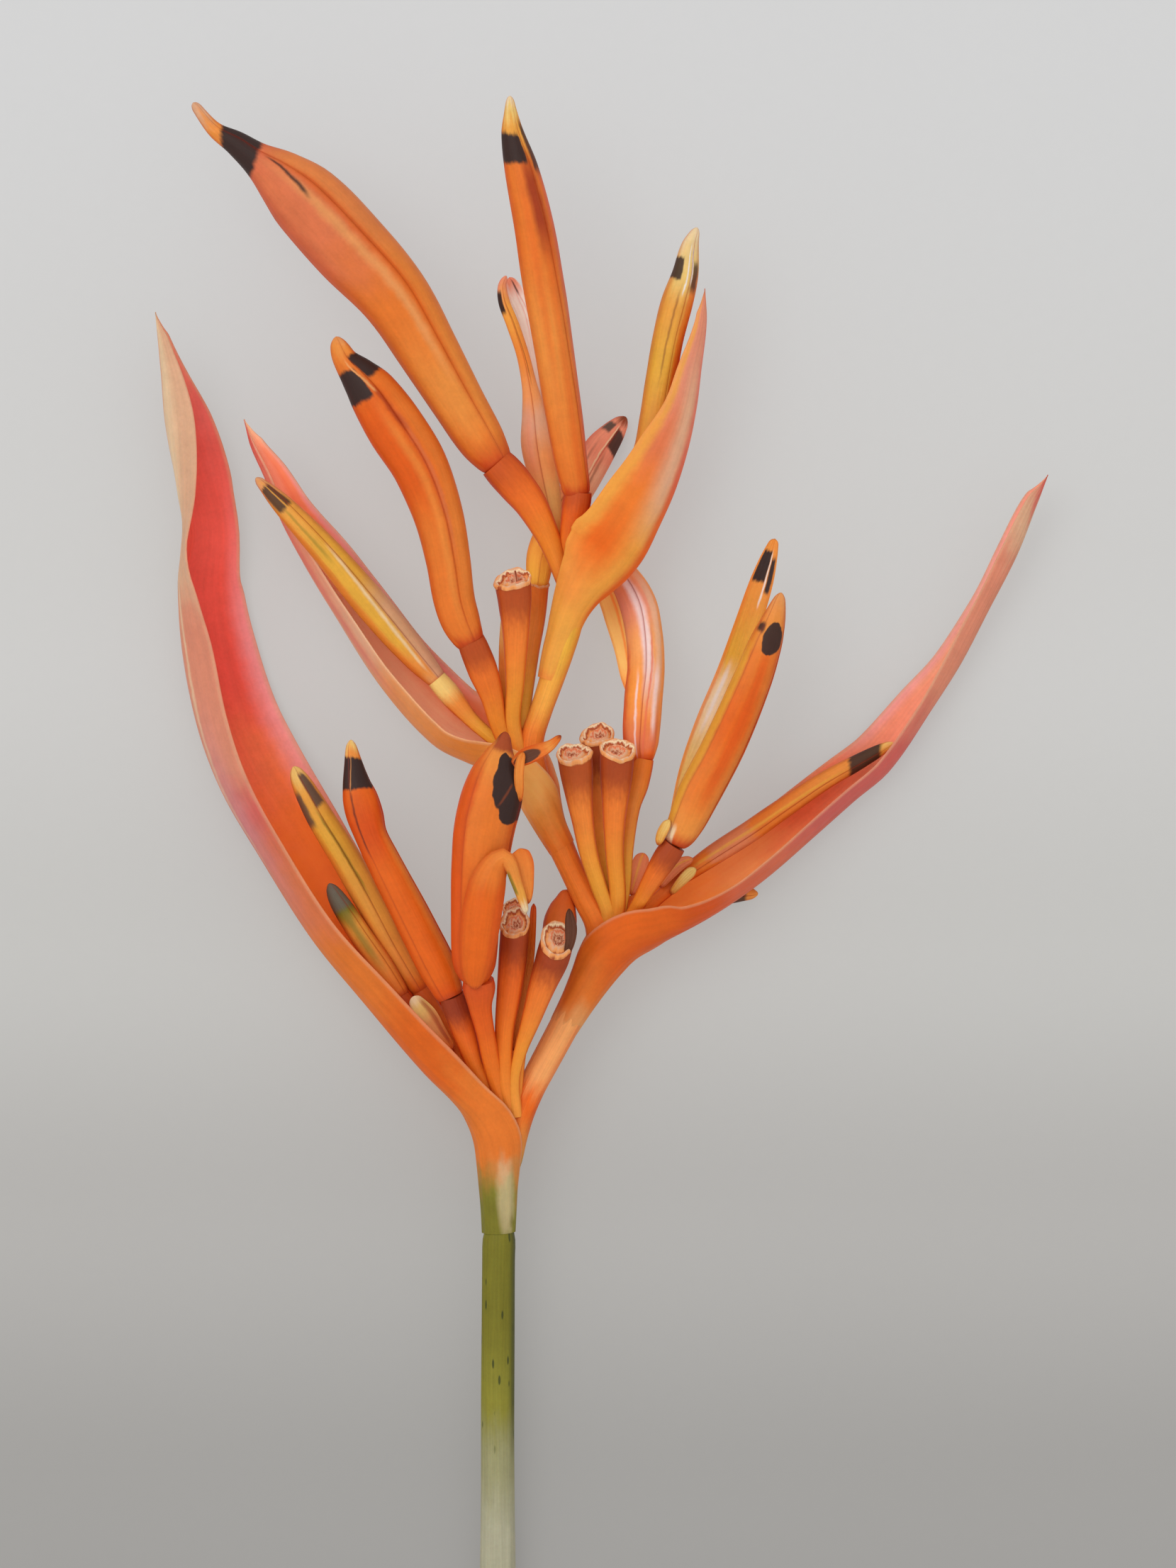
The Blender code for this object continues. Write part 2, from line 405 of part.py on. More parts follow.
def settle(target, cutter_or_group, operation):
    """Apply one Boolean and clear away what it used."""
    step = target.modifiers.new("join", "BOOLEAN")
    step.operation = operation
    if isinstance(cutter_or_group, bpy.types.Collection):
        step.operand_type = "COLLECTION"
        step.collection = cutter_or_group
    else:
        step.operand_type = "OBJECT"
        step.object = cutter_or_group
    step.solver = "EXACT"
    graph = bpy.context.evaluated_depsgraph_get()
    mesh = bpy.data.meshes.new_from_object(target.evaluated_get(graph))
    target.modifiers.clear()
    target.data = mesh
    if isinstance(cutter_or_group, bpy.types.Collection):
        for used in list(cutter_or_group.objects):
            bpy.data.objects.remove(used, do_unlink=True)
        bpy.data.collections.remove(cutter_or_group)
    else:
        bpy.data.objects.remove(cutter_or_group, do_unlink=True)


def bunch(name, lines, colour):
    """Several stalks joined at their roots and trimmed clear of the stem."""
    first = stalk(name, lines[0], colour)
    group = bpy.data.collections.new(name)
    bpy.context.scene.collection.children.link(group)
    for number, rows in enumerate(lines[1:]):
        other = stalk(name + str(number), rows, colour)
        bpy.context.scene.collection.objects.unlink(other)
        group.objects.link(other)
    settle(first, group, "UNION")
    rings = tube_rings(STEM, STEM_SIDES, STEM_RINGS, stem_half, ROOT_GAP)
    settle(first, solid("trim", rings, colour), "DIFFERENCE")
    return first


def build():
    for old in list(bpy.data.objects):
        bpy.data.objects.remove(old, do_unlink=True)
    solid("stem", tube_rings(STEM, STEM_SIDES, STEM_RINGS, stem_half), GREEN)
    bunch("stalks_lower", STALKS_LOWER, ORANGE)
    bunch("stalks_right", STALKS_RIGHT, ORANGE)
    bunch("stalks_left", STALKS_LEFT, YELLOW)
    bunch("stalks_top", STALKS_TOP, ORANGE)
    boat("bract_lower_left", BRACT_LOWER_LEFT, 1, PINK)
    boat("bract_right", BRACT_RIGHT, -1, PINK)
    boat("bract_left", BRACT_LEFT, 1, SALMON)
    boat("bract_upper_right", BRACT_UPPER_RIGHT, -1, SALMON)
    flower("flower_upper_left", FLOWER_UPPER_LEFT, ORANGE)
    flower("flower_top", FLOWER_TOP, ORANGE)
    flower("flower_yellow", FLOWER_YELLOW, YELLOW)
    flower("flower_withered", FLOWER_WITHERED, RUST)
    flower("flower_slender", FLOWER_SLENDER, CREAM)
    flower("flower_left", FLOWER_LEFT, ORANGE)
    flower("flower_right", FLOWER_RIGHT, ORANGE)
    flower("flower_arched", FLOWER_ARCHED, SALMON)
    flower("flower_lower_left", FLOWER_LOWER_LEFT, ORANGE)
    flower("flower_open", FLOWER_OPEN, ORANGE)
    flower("bud_right", BUD_RIGHT, ORANGE)
    flower("bud_left", BUD_LEFT, YELLOW)
    flower("bud_nub", BUD_NUB, RUST)
    flower("bud_yellow", BUD_YELLOW, YELLOW)
    flower("bud_small", BUD_SMALL, RUST)
    blade("sepal_slender", SEPAL_SLENDER, CREAM)
    blade("sepal_right", SEPAL_RIGHT, YELLOW)
    blade("sepal_arched", SEPAL_ARCHED, ORANGE)
    blade("sepal_curled", SEPAL_CURLED, ORANGE)
    blade("sepal_tongue", SEPAL_TONGUE, ORANGE)
    blade("scale_lower", SCALE_LOWER, CREAM)
    blade("scale_thin", SCALE_THIN, RUST)
    for piece in bpy.data.objects:
        piece.data.shade_smooth()
        piece.data.set_sharp_from_angle(angle=SMOOTH_ANGLE)


build()
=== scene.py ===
"""Looks of the heliconia flower head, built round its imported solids.

Every piece is a finer copy of one solid: it follows nearly the same centre
line and widths, in millimetres, and adds sepal joints, thin leaf rims, leaf
feet that run on round the stem, dry scars and colour. Plus Y points to the tip
and plus Z away from the table.
"""
import bpy
import bmesh
import math
import numpy as np
from collections import namedtuple
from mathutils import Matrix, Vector

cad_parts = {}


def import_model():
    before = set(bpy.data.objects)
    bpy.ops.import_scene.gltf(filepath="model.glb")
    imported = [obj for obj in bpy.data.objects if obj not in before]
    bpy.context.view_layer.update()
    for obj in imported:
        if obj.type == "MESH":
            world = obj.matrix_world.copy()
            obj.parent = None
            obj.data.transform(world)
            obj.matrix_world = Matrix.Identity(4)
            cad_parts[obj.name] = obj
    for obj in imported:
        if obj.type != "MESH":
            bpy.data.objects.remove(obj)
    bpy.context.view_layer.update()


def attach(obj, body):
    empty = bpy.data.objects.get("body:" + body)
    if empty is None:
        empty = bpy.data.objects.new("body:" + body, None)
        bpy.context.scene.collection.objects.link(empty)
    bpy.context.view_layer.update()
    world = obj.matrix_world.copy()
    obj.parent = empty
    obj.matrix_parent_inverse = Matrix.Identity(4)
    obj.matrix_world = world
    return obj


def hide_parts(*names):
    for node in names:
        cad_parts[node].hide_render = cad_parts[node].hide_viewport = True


MM = 0.001
BODY = "root"

# The camera looks straight down on LOOK_AT. The picture shows FRAME_HEIGHT of the table. Both
# are in millimetres.
LENS, SENSOR = 300.0, 36.0
FRAME_HEIGHT = 159.3
LOOK_AT = (-1.48, 6.70, 8.0)

# Strength of the light from all round, of the lamp and of the table's own faint glow.
WORLD_STRENGTH, KEY_POWER, FLOOR_GLOW = 0.84, 2.2, 0.59

# Mesh density. Rings lie closer together at the ends of a piece, by END_CROWD.
PETAL_RINGS, BLADE_RINGS, STALK_RINGS = 96, 56, 44
STEM_RINGS, STEM_SIDES, STALK_SIDES = 240, 54, 36
LEAF_RINGS, LEAF_STEPS, BLADE_STEPS = 150, 44, 12
END_CROWD = 0.75
SEPALS = 3
SEPAL_STOPS = (0, .012, .03, .06, .11, .18, .28, .4, .52, .64, .74, .83, .89, .935, .965, .988)

# Flowers and stalks, in shares of their width: how flat they lie, how far one sepal's edge stands
# over the next, fine ribs and the unevenness of a grown surface.
PETAL_FLAT = 0.84
SEPAL_STEP = 0.05
RIDGE_COUNT, STALK_RIBS, STEM_RIBS = 9, 7, 9
RIB_HEIGHT = 0.012
PETAL_UNEVEN, STALK_UNEVEN = 0.012, 0.014

# Usual heel of a flower: share of the width at its foot, and millimetres until it is full.
HEEL = (0.88, 0.9)

# A stalk without a scar runs on by this many millimetres under its flower.
PLAIN_TOP = 1.0

# Leaves: length of the point, wave of the rims, wall in the middle and at the rims, all in
# millimetres, then keel and flare as shares of the depth. Leaves shallower than FULL_DEPTH have
# less of the wave and flare.
LEAF_POINT = 2.4
LEAF_WAVE = 0.06
LEAF_WALL, LEAF_EDGE = 0.5, 0.26
LEAF_CREASE, LEAF_FLARE = 0.05, 0.1
FULL_DEPTH = 3.0

# Round of a rim: share of the way through the wall, and how far it bulges.
LIP_ROUND = ((0.2, 0.7), (0.5, 1.0), (0.8, 0.7))

# Painted light: how much brighter the inside of a leaf is than the colours given for it, lifting
# the shade in its fold.
INNER_PAINTED_LIGHT = 1.42

# Thin sepals and scraps, in millimetres, and how hollow the scraps are.
BLADE_THICK, CURL_THICK = 0.42, 0.4
SCRAP_CUP = 0.5
SMOOTH_ANGLE = math.radians(48)


def tone(red, green, blue):
    """Linear colour from a screen colour in bytes."""
    parts = []
    for byte in (red, green, blue):
        share = byte / 255
        low = share <= 0.04045
        parts.append(share / 12.92 if low else ((share + 0.055) / 1.055) ** 2.4)
    return (*parts, 1.0)


# Palette.
SCORCH, CHAR, BARK = tone(56, 38, 34), tone(92, 70, 60), tone(120, 58, 34)
MAROON, RUST, BRICK = tone(150, 44, 22), tone(186, 68, 26), tone(200, 74, 24)
UMBER, SIENNA, CLAY = tone(96, 56, 38), tone(162, 70, 34), tone(142, 54, 26)
EMBER, FLAME, TANGERINE = tone(214, 82, 16), tone(220, 98, 22), tone(222, 116, 40)
AMBER, HONEY, GOLD = tone(226, 138, 58), tone(226, 156, 64), tone(222, 164, 58)
STRAW, CREAM, WHITE = tone(230, 192, 112), tone(230, 204, 164), tone(230, 222, 214)
APRICOT, PEACH, BLUSH = tone(224, 150, 88), tone(212, 164, 130), tone(214, 134, 106)
SALMON, CORAL, CRIMSON = tone(212, 112, 70), tone(214, 104, 72), tone(208, 82, 68)
ROSE, LILAC, MIST = tone(206, 94, 84), tone(204, 136, 138), tone(222, 196, 192)
OLIVE, LEAF, MOSS = tone(118, 112, 34), tone(134, 128, 46), tone(56, 62, 28)
SAGE, BONE, OCHRE = tone(150, 146, 106), tone(168, 164, 138), tone(204, 128, 62)
# Honey orange lightened by painted light, for a leaf foot that lies in shade.
PAINTED_LIGHT_HONEY = tone(250, 176, 92)

# Tubes from foot to tip: rows of x, y, z and radius. A group of stalks is a list of such rows.
STEM = [
    (-10.7, -76.4, 1.75, 1.85), (-10.7, -64.9, 2.7, 1.7), (-10.7, -53.9, 3.5, 1.7),
    (-10.6, -41.8, 4.5, 1.68), (-10.55, -39.8, 4.7, 1.68), (-10.5, -38.4, 4.8, 1.45),
    (-10.4, -35.6, 5.0, 1.4), (-10.1, -33.2, 5.2, 1.4), (-9.6, -31.2, 5.4, 1.5),
    (-9.1, -29.2, 5.5, 1.45), (-8.3, -26.7, 5.6, 1.4), (-7.25, -24.2, 5.7, 1.42),
    (-5.95, -21.7, 5.8, 1.46), (-4.4, -18.8, 5.9, 1.5), (-2.7, -15.6, 6.1, 1.55),
    (-1.4, -12.8, 6.3, 1.55), (-0.3, -10.3, 6.4, 1.5),
    (-0.4, -7.6, 6.5, 1.4), (-1.6, -5.1, 6.8, 1.35), (-3.2, -1.9, 7.0, 1.25),
    (-4.8, 1.7, 7.3, 1.4), (-6.1, 5.0, 7.6, 1.5), (-7.0, 8.2, 7.8, 1.4),
    (-7.2, 11.1, 8.0, 1.25), (-6.3, 14.0, 8.1, 1.15), (-5.2, 17.2, 8.3, 1.25),
    (-4.2, 20.4, 8.5, 1.4), (-3.4, 23.2, 8.7, 1.4), (-3.3, 25.6, 8.8, 1.3),
    (-3.6, 27.8, 9.0, 0.9),
]

STALKS_TOP = [
    [(-3.6, 26.6, 9.2, 0.9), (-4.6, 29.4, 9.6, 1.0), (-5.6, 31.9, 9.9, 1.25),
     (-7.3, 35.1, 10.4, 1.65), (-9.2, 37.5, 10.9, 1.9), (-10.1, 38.5, 11.0, 1.9)],
    [(-3.6, 27.2, 9.1, 0.8), (-3.4, 31.2, 9.6, 1.0), (-2.8, 34.1, 10.2, 1.4),
     (-2.6, 35.4, 10.4, 1.45)],
    [(-3.3, 26.6, 8.9, 0.8), (-1.9, 30.9, 8.9, 0.85), (0.0, 34.1, 9.0, 1.05),
     (1.0, 35.6, 9.0, 1.1)],
    [(-3.7, 26.8, 8.6, 0.7), (-3.9, 29.0, 7.9, 0.6), (-4.2, 30.6, 7.4, 0.6)],
]

STALKS_LEFT = [
    [(-8.4, 8.6, 8.1, 0.8), (-9.8, 10.8, 8.6, 0.8), (-10.6, 12.8, 9.1, 0.9),
     (-11.2, 15.4, 9.9, 1.15), (-12.1, 18.1, 10.9, 1.5), (-13.0, 20.4, 11.6, 1.5)],
    [(-8.2, 9.0, 8.2, 0.8), (-9.1, 12.9, 9.1, 0.8), (-8.9, 16.8, 10.1, 0.95),
     (-8.8, 21.5, 11.2, 1.3), (-8.9, 25.1, 12.0, 1.7), (-9.1, 27.1, 12.4, 1.85)],
    [(-8.1, 9.6, 7.7, 0.75), (-8.0, 14.3, 7.2, 0.75), (-7.4, 19.4, 6.6, 0.85),
     (-6.8, 23.7, 6.2, 1.0), (-6.6, 26.9, 6.0, 1.15)],
    [(-8.6, 9.4, 7.9, 0.75), (-11.5, 11.6, 8.0, 0.7), (-13.4, 13.3, 8.1, 0.8),
     (-15.1, 15.3, 8.2, 1.1), (-16.2, 16.6, 8.3, 1.1)],
    [(-8.5, 9.0, 7.9, 0.7), (-9.5, 12.9, 8.0, 0.7), (-9.8, 16.8, 8.2, 0.75),
     (-10.05, 19.8, 8.5, 0.5), (-10.2, 22.4, 8.8, 0.3)],
]

STALKS_RIGHT = [
    [(0.7, -9.0, 6.9, 0.8), (0.5, -6.2, 7.6, 0.8), (-0.4, -3.7, 8.8, 0.85),
     (-1.4, -0.4, 10.1, 0.95), (-2.1, 3.5, 11.1, 1.15), (-2.6, 7.5, 12.0, 1.65),
     (-2.8, 9.5, 12.4, 1.8)],
    [(0.7, -8.6, 6.5, 0.75), (0.75, -3.7, 7.0, 0.8), (0.15, 1.4, 7.4, 1.1),
     (-0.25, 6.4, 7.8, 1.4), (-0.55, 11.4, 8.1, 1.7)],
    [(1.1, -9.0, 7.0, 0.8), (1.5, -6.2, 7.5, 0.8), (1.5, -4.0, 8.7, 0.85),
     (1.2, -0.1, 10.2, 0.95), (1.2, 3.5, 11.2, 1.2), (1.4, 7.7, 12.0, 1.65),
     (1.5, 9.9, 12.4, 1.75)],
    [(1.3, -8.8, 6.8, 0.6), (2.2, -4.4, 7.5, 0.58), (2.55, 0.6, 8.2, 0.66),
     (3.0, 4.3, 8.5, 0.82), (3.6, 6.4, 8.6, 1.0), (4.0, 8.3, 8.7, 1.08)],
    [(1.5, -9.2, 7.0, 0.75), (3.0, -6.6, 7.3, 0.75), (4.0, -4.8, 8.8, 0.8),
     (5.0, -3.0, 10.4, 1.0), (6.1, -1.2, 11.5, 1.25), (6.7, -0.3, 11.7, 1.3)],
    [(1.5, -9.0, 6.4, 0.65), (4.0, -6.5, 6.4, 0.6), (5.8, -4.8, 6.3, 0.65),
     (7.4, -3.3, 6.2, 0.8)],
]

STALKS_LOWER = [
    [(-9.6, -27.2, 6.2, 0.8), (-11.2, -24.6, 6.8, 0.8), (-12.8, -22.3, 7.6, 0.9),
     (-13.7, -19.6, 8.9, 1.1), (-14.4, -17.4, 9.9, 1.3), (-15.0, -15.6, 10.6, 1.35)],
    [(-10.0, -27.2, 5.8, 0.75), (-13.7, -22.4, 6.2, 0.75), (-16.2, -18.1, 6.5, 0.95),
     (-18.1, -15.0, 6.6, 1.0)],
    [(-9.8, -27.2, 6.0, 0.7), (-14.2, -22.9, 6.9, 0.65), (-17.4, -18.8, 7.4, 0.75),
     (-20.0, -15.4, 7.6, 0.85)],
    [(-9.4, -27.2, 6.4, 0.8), (-10.6, -24.4, 7.3, 0.8), (-11.3, -21.5, 8.8, 0.9),
     (-11.9, -18.4, 11.0, 0.95), (-12.4, -15.8, 12.8, 1.2), (-12.5, -14.0, 13.7, 1.66)],
    [(-9.2, -27.0, 6.5, 0.8), (-9.9, -23.9, 7.5, 0.85), (-10.0, -18.8, 9.3, 0.95),
     (-9.5, -14.5, 10.5, 1.25), (-9.1, -10.9, 11.3, 1.45), (-8.9, -7.6, 11.7, 1.45)],
    [(-9.4, -27.2, 6.0, 0.7), (-9.7, -19.5, 6.9, 0.85), (-9.2, -13.8, 7.6, 1.15),
     (-8.9, -9.4, 8.0, 1.2), (-8.9, -6.1, 8.2, 1.2)],
    [(-8.9, -27.0, 6.6, 0.8), (-9.0, -23.4, 7.8, 0.6), (-8.4, -20.6, 8.8, 0.66),
     (-7.4, -17.6, 9.9, 0.96), (-6.1, -13.7, 11.2, 1.38), (-5.1, -11.0, 11.9, 1.7),
     (-4.6, -9.3, 12.3, 1.68)],
    [(-8.7, -25.5, 6.6, 0.5), (-8.2, -20.4, 6.9, 0.5), (-6.9, -16.0, 6.9, 0.6),
     (-5.3, -12.0, 6.7, 1.0), (-4.6, -9.4, 6.6, 1.55), (-4.3, -7.3, 6.5, 1.7),
     (-4.0, -5.7, 6.4, 1.3), (-3.85, -5.0, 6.4, 0.95)],
]

FLOWER_UPPER_LEFT = [
    (-10.6, 39.1, 11.0, 1.7), (-12.2, 41.4, 11.2, 2.35), (-14.6, 45.4, 11.5, 2.65),
    (-17.8, 50.9, 11.8, 3.1), (-21.2, 56.4, 12.0, 3.55), (-25.4, 61.0, 12.2, 3.9),
    (-30.1, 66.0, 12.4, 3.65), (-32.8, 68.4, 12.4, 2.7), (-35.1, 70.1, 12.4, 1.7),
    (-37.1, 71.6, 12.4, 1.25), (-39.3, 73.0, 12.3, 0.8), (-41.5, 75.7, 12.3, 0.45)]
FLOWER_TOP = [
    (-2.6, 36.1, 10.5, 1.4), (-3.3, 40.0, 11.3, 1.7), (-4.0, 44.6, 11.8, 1.9),
    (-4.9, 50.6, 12.1, 2.0), (-5.9, 56.8, 12.3, 2.1), (-6.9, 63.1, 12.4, 2.0),
    (-8.2, 69.0, 12.4, 1.7), (-9.1, 72.6, 12.4, 1.15), (-9.3, 74.6, 12.4, 0.7),
    (-9.4, 76.4, 12.4, 0.3)]
FLOWER_YELLOW = [
    (1.5, 36.3, 9.0, 1.1), (4.3, 40.0, 9.1, 1.35), (5.3, 43.8, 9.2, 1.5),
    (5.9, 47.4, 9.3, 1.52), (6.65, 51.8, 9.4, 1.55), (7.6, 55.6, 9.4, 1.6),
    (8.4, 58.4, 9.4, 1.33), (8.9, 61.3, 9.4, 0.9), (9.6, 63.2, 9.4, 0.3)]
FLOWER_WITHERED = [
    (-6.7, 26.5, 6.1, 1.0), (-6.6, 27.6, 5.9, 1.2), (-6.2, 30.2, 5.0, 1.45),
    (-4.7, 33.4, 3.7, 1.6), (-2.5, 36.8, 2.7, 1.65), (-0.3, 40.7, 1.3, 1.65),
    (1.2, 42.7, 0.9, 1.2), (2.4, 44.2, 0.8, 0.5)]
FLOWER_SLENDER = [
    (-4.5, 31.4, 7.2, 0.6), (-5.1, 34.1, 6.9, 1.0), (-5.9, 37.7, 6.7, 1.5),
    (-6.6, 41.3, 6.6, 1.7), (-7.0, 44.6, 6.6, 1.2), (-7.4, 47.1, 6.6, 0.8),
    (-8.1, 50.3, 6.7, 0.65), (-9.2, 53.6, 6.8, 0.65), (-10.0, 55.7, 6.8, 0.6),
    (-10.2, 57.3, 6.8, 0.45), (-9.8, 58.4, 6.8, 0.25)]
FLOWER_LEFT = [
    (-13.3, 20.9, 11.8, 1.45), (-14.3, 23.0, 12.0, 1.95), (-15.0, 25.3, 12.1, 2.1),
    (-15.6, 29.2, 12.3, 2.25), (-16.6, 33.9, 12.5, 2.5), (-18.4, 38.7, 12.7, 2.8),
    (-21.0, 42.9, 12.8, 2.95), (-23.3, 46.4, 12.9, 2.55), (-24.8, 48.2, 12.9, 1.9),
    (-26.0, 49.6, 12.9, 1.3), (-26.6, 50.8, 12.9, 1.0), (-27.0, 52.0, 12.9, 0.5)]
FLOWER_RIGHT = [
    (7.3, 0.5, 11.9, 1.4), (8.5, 3.0, 12.0, 1.9), (9.7, 5.7, 12.0, 2.15),
    (11.5, 9.1, 12.0, 2.15), (13.3, 12.9, 12.0, 2.1), (15.1, 17.2, 12.0, 1.95),
    (16.5, 21.0, 12.0, 1.65), (17.3, 23.3, 12.0, 1.2), (17.8, 25.0, 12.0, 0.75),
    (18.1, 26.1, 12.0, 0.35)]
FLOWER_ARCHED = [
    (4.0, 9.0, 8.6, 1.2), (3.9, 10.8, 8.2, 1.75), (4.1, 15.0, 7.4, 1.9),
    (4.4, 18.6, 6.4, 1.87), (4.2, 22.2, 5.2, 1.85), (3.6, 25.1, 4.2, 1.85),
    (2.3, 27.6, 3.4, 1.6), (0.8, 29.2, 3.0, 1.2), (-0.6, 30.2, 2.8, 0.6)]
BUD_RIGHT = [
    (8.0, -2.8, 6.1, 0.8), (11.2, -0.6, 5.6, 1.05), (15.1, 1.9, 4.9, 1.1),
    (18.7, 4.4, 4.0, 1.05), (22.6, 7.0, 3.3, 0.95), (26.2, 9.0, 2.9, 0.8),
    (28.4, 10.2, 2.8, 0.6), (29.7, 10.9, 2.9, 0.3)]
BUD_LEFT = [
    (-16.6, 17.1, 8.3, 1.0), (-18.6, 19.3, 8.4, 1.4), (-21.1, 22.2, 8.6, 1.65),
    (-24.0, 25.6, 9.0, 1.7), (-27.3, 29.5, 9.5, 1.5), (-30.5, 33.0, 9.6, 1.25),
    (-33.0, 35.6, 9.5, 0.95), (-34.5, 37.1, 9.2, 0.55), (-35.2, 37.8, 9.0, 0.35)]
BUD_NUB = [
    (8.4, -6.2, 1.0, 0.6), (9.9, -5.4, 1.0, 0.75), (11.9, -4.8, 1.0, 0.95),
    (13.7, -4.5, 1.0, 0.9), (15.0, -4.5, 1.0, 0.65), (15.9, -4.5, 1.0, 0.35)]
FLOWER_LOWER_LEFT = [
    (-15.4, -14.9, 10.9, 1.4), (-16.6, -12.2, 11.1, 1.9), (-18.4, -8.6, 11.3, 1.93),
    (-20.5, -4.5, 11.5, 1.82), (-22.4, -0.8, 11.6, 1.68), (-23.5, 1.5, 11.7, 1.62),
    (-24.1, 3.5, 11.7, 1.84), (-24.6, 5.3, 11.7, 1.76), (-24.95, 6.7, 11.7, 1.42),
    (-25.25, 8.7, 11.7, 0.95), (-25.45, 10.3, 11.7, 0.6), (-25.5, 11.2, 11.7, 0.3)]
BUD_YELLOW = [
    (-18.5, -14.3, 6.7, 1.0), (-21.2, -9.8, 6.9, 1.3), (-23.9, -4.8, 7.1, 1.48),
    (-26.4, -0.4, 7.3, 1.52), (-28.5, 3.0, 7.4, 1.42), (-29.9, 5.5, 7.5, 1.22),
    (-30.8, 7.2, 7.5, 0.95), (-31.4, 8.5, 7.5, 0.45)]
BUD_SMALL = [
    (-20.4, -14.8, 7.7, 0.9), (-22.3, -11.9, 7.8, 1.15), (-24.4, -8.9, 7.8, 1.15),
    (-26.1, -6.3, 7.8, 1.05), (-27.1, -4.7, 7.8, 0.85), (-27.8, -3.4, 7.8, 0.4)]
FLOWER_OPEN = [
    (-12.7, -13.9, 14.1, 1.6), (-13.0, -10.9, 14.7, 2.25), (-12.9, -6.6, 15.2, 2.45),
    (-12.5, -1.5, 15.5, 2.8), (-11.9, 2.8, 15.6, 3.05), (-11.2, 5.6, 15.6, 3.05),
    (-10.7, 8.0, 15.5, 2.5), (-10.4, 9.6, 15.4, 1.6), (-10.0, 11.0, 15.4, 0.8),
    (-9.8, 12.0, 15.3, 0.45)]

# Flat pieces: rows of x, y, z and half width.
SEPAL_SLENDER = [
    (-5.9, 40.2, 4.0, 0.5), (-6.1, 43.8, 3.9, 0.8), (-6.4, 47.4, 3.9, 0.85),
    (-7.0, 51.0, 4.0, 0.87), (-7.8, 54.4, 4.3, 0.9), (-8.85, 56.8, 4.7, 0.85),
    (-9.5, 58.3, 4.9, 0.4)]
SEPAL_RIGHT = [
    (7.0, 1.6, 9.8, 0.5), (7.8, 4.6, 9.4, 0.8), (9.0, 8.2, 9.1, 1.2), (10.8, 12.7, 9.0, 1.45),
    (13.0, 17.9, 9.0, 1.45), (14.7, 22.8, 9.1, 1.35), (16.1, 27.1, 9.2, 1.2),
    (16.9, 29.7, 9.3, 0.85), (17.5, 31.6, 9.3, 0.4)]
SEPAL_ARCHED = [
    (3.2, 15.4, 5.4, 0.5), (2.5, 17.6, 4.3, 0.65), (2.0, 20.4, 3.1, 0.8), (1.3, 23.3, 2.3, 1.0),
    (0.5, 25.8, 1.6, 1.0), (-0.7, 27.9, 1.2, 0.8), (-1.7, 29.1, 1.1, 0.45)]
SEPAL_TONGUE = [
    (-9.2, 8.6, 16.4, 0.4), (-7.9, 9.4, 16.8, 0.85), (-6.5, 10.0, 16.9, 0.8),
    (-5.3, 10.6, 16.9, 0.55), (-4.2, 11.6, 16.8, 0.25)]
SCALE_LOWER = [
    (-15.3, -20.3, 8.1, 0.5), (-16.8, -18.4, 8.6, 0.9), (-18.0, -16.7, 8.9, 1.1),
    (-19.3, -14.9, 9.1, 0.6)]
SCALE_THIN = [
    (-9.1, -20.4, 7.8, 0.3), (-8.9, -18.6, 8.3, 0.5), (-8.4, -16.2, 8.8, 0.6),
    (-7.9, -13.6, 9.3, 0.58), (-7.45, -11.2, 9.8, 0.5), (-7.22, -9.2, 10.1, 0.42),
    (-7.08, -7.2, 10.3, 0.36), (-7.0, -5.9, 10.4, 0.28), (-6.98, -5.4, 10.4, 0.15)]

# Leaves from the stem to the tip: keel x, y, z, depth, half width, then the angle from the
# keel to the rims and the tilt of the mouth, in degrees. The first rows close round the stem.
BRACT_LOWER_LEFT = [
    (-12.2, -39.0, 4.75, 1.64, 1.64, 178, 0), (-12.3, -36.7, 5.0, 1.74, 1.74, 173, 0),
    (-12.5, -34.3, 5.15, 1.92, 1.92, 166, 0), (-12.7, -32.1, 5.3, 2.2, 2.15, 156, 0),
    (-12.95, -30.0, 5.35, 2.55, 2.5, 142, 0), (-13.5, -28.2, 5.3, 2.8, 2.8, 126, 5),
    (-14.6, -26.2, 5.1, 3.1, 3.1, 111, 15), (-18.0, -22.5, 4.5, 4.9, 4.0, 98, 25),
    (-23.6, -15.8, 3.8, 5.9, 4.3, 90, 30), (-29.0, -8.9, 2.9, 6.9, 4.8, 84, 35),
    (-34.6, 0.0, 2.0, 7.6, 4.9, 82, 37), (-38.4, 6.3, 1.5, 8.2, 4.8, 80, 36),
    (-40.9, 12.5, 1.2, 8.3, 4.5, 78, 33), (-42.6, 20.8, 1.4, 7.3, 4.1, 78, 30),
    (-42.8, 27.1, 1.9, 6.0, 4.0, 76, 34), (-41.9, 32.3, 2.6, 4.0, 3.6, 76, 44),
    (-43.0, 36.8, 3.4, 4.9, 3.4, 78, 33), (-44.3, 43.2, 4.6, 4.4, 2.7, 82, 18),
    (-44.8, 48.2, 5.6, 2.3, 1.5, 90, 8), (-45.2, 52.1, 6.2, 1.0, 0.8, 90, 5),
    (-45.5, 54.7, 6.5, 0.45, 0.45, 90, 5)]
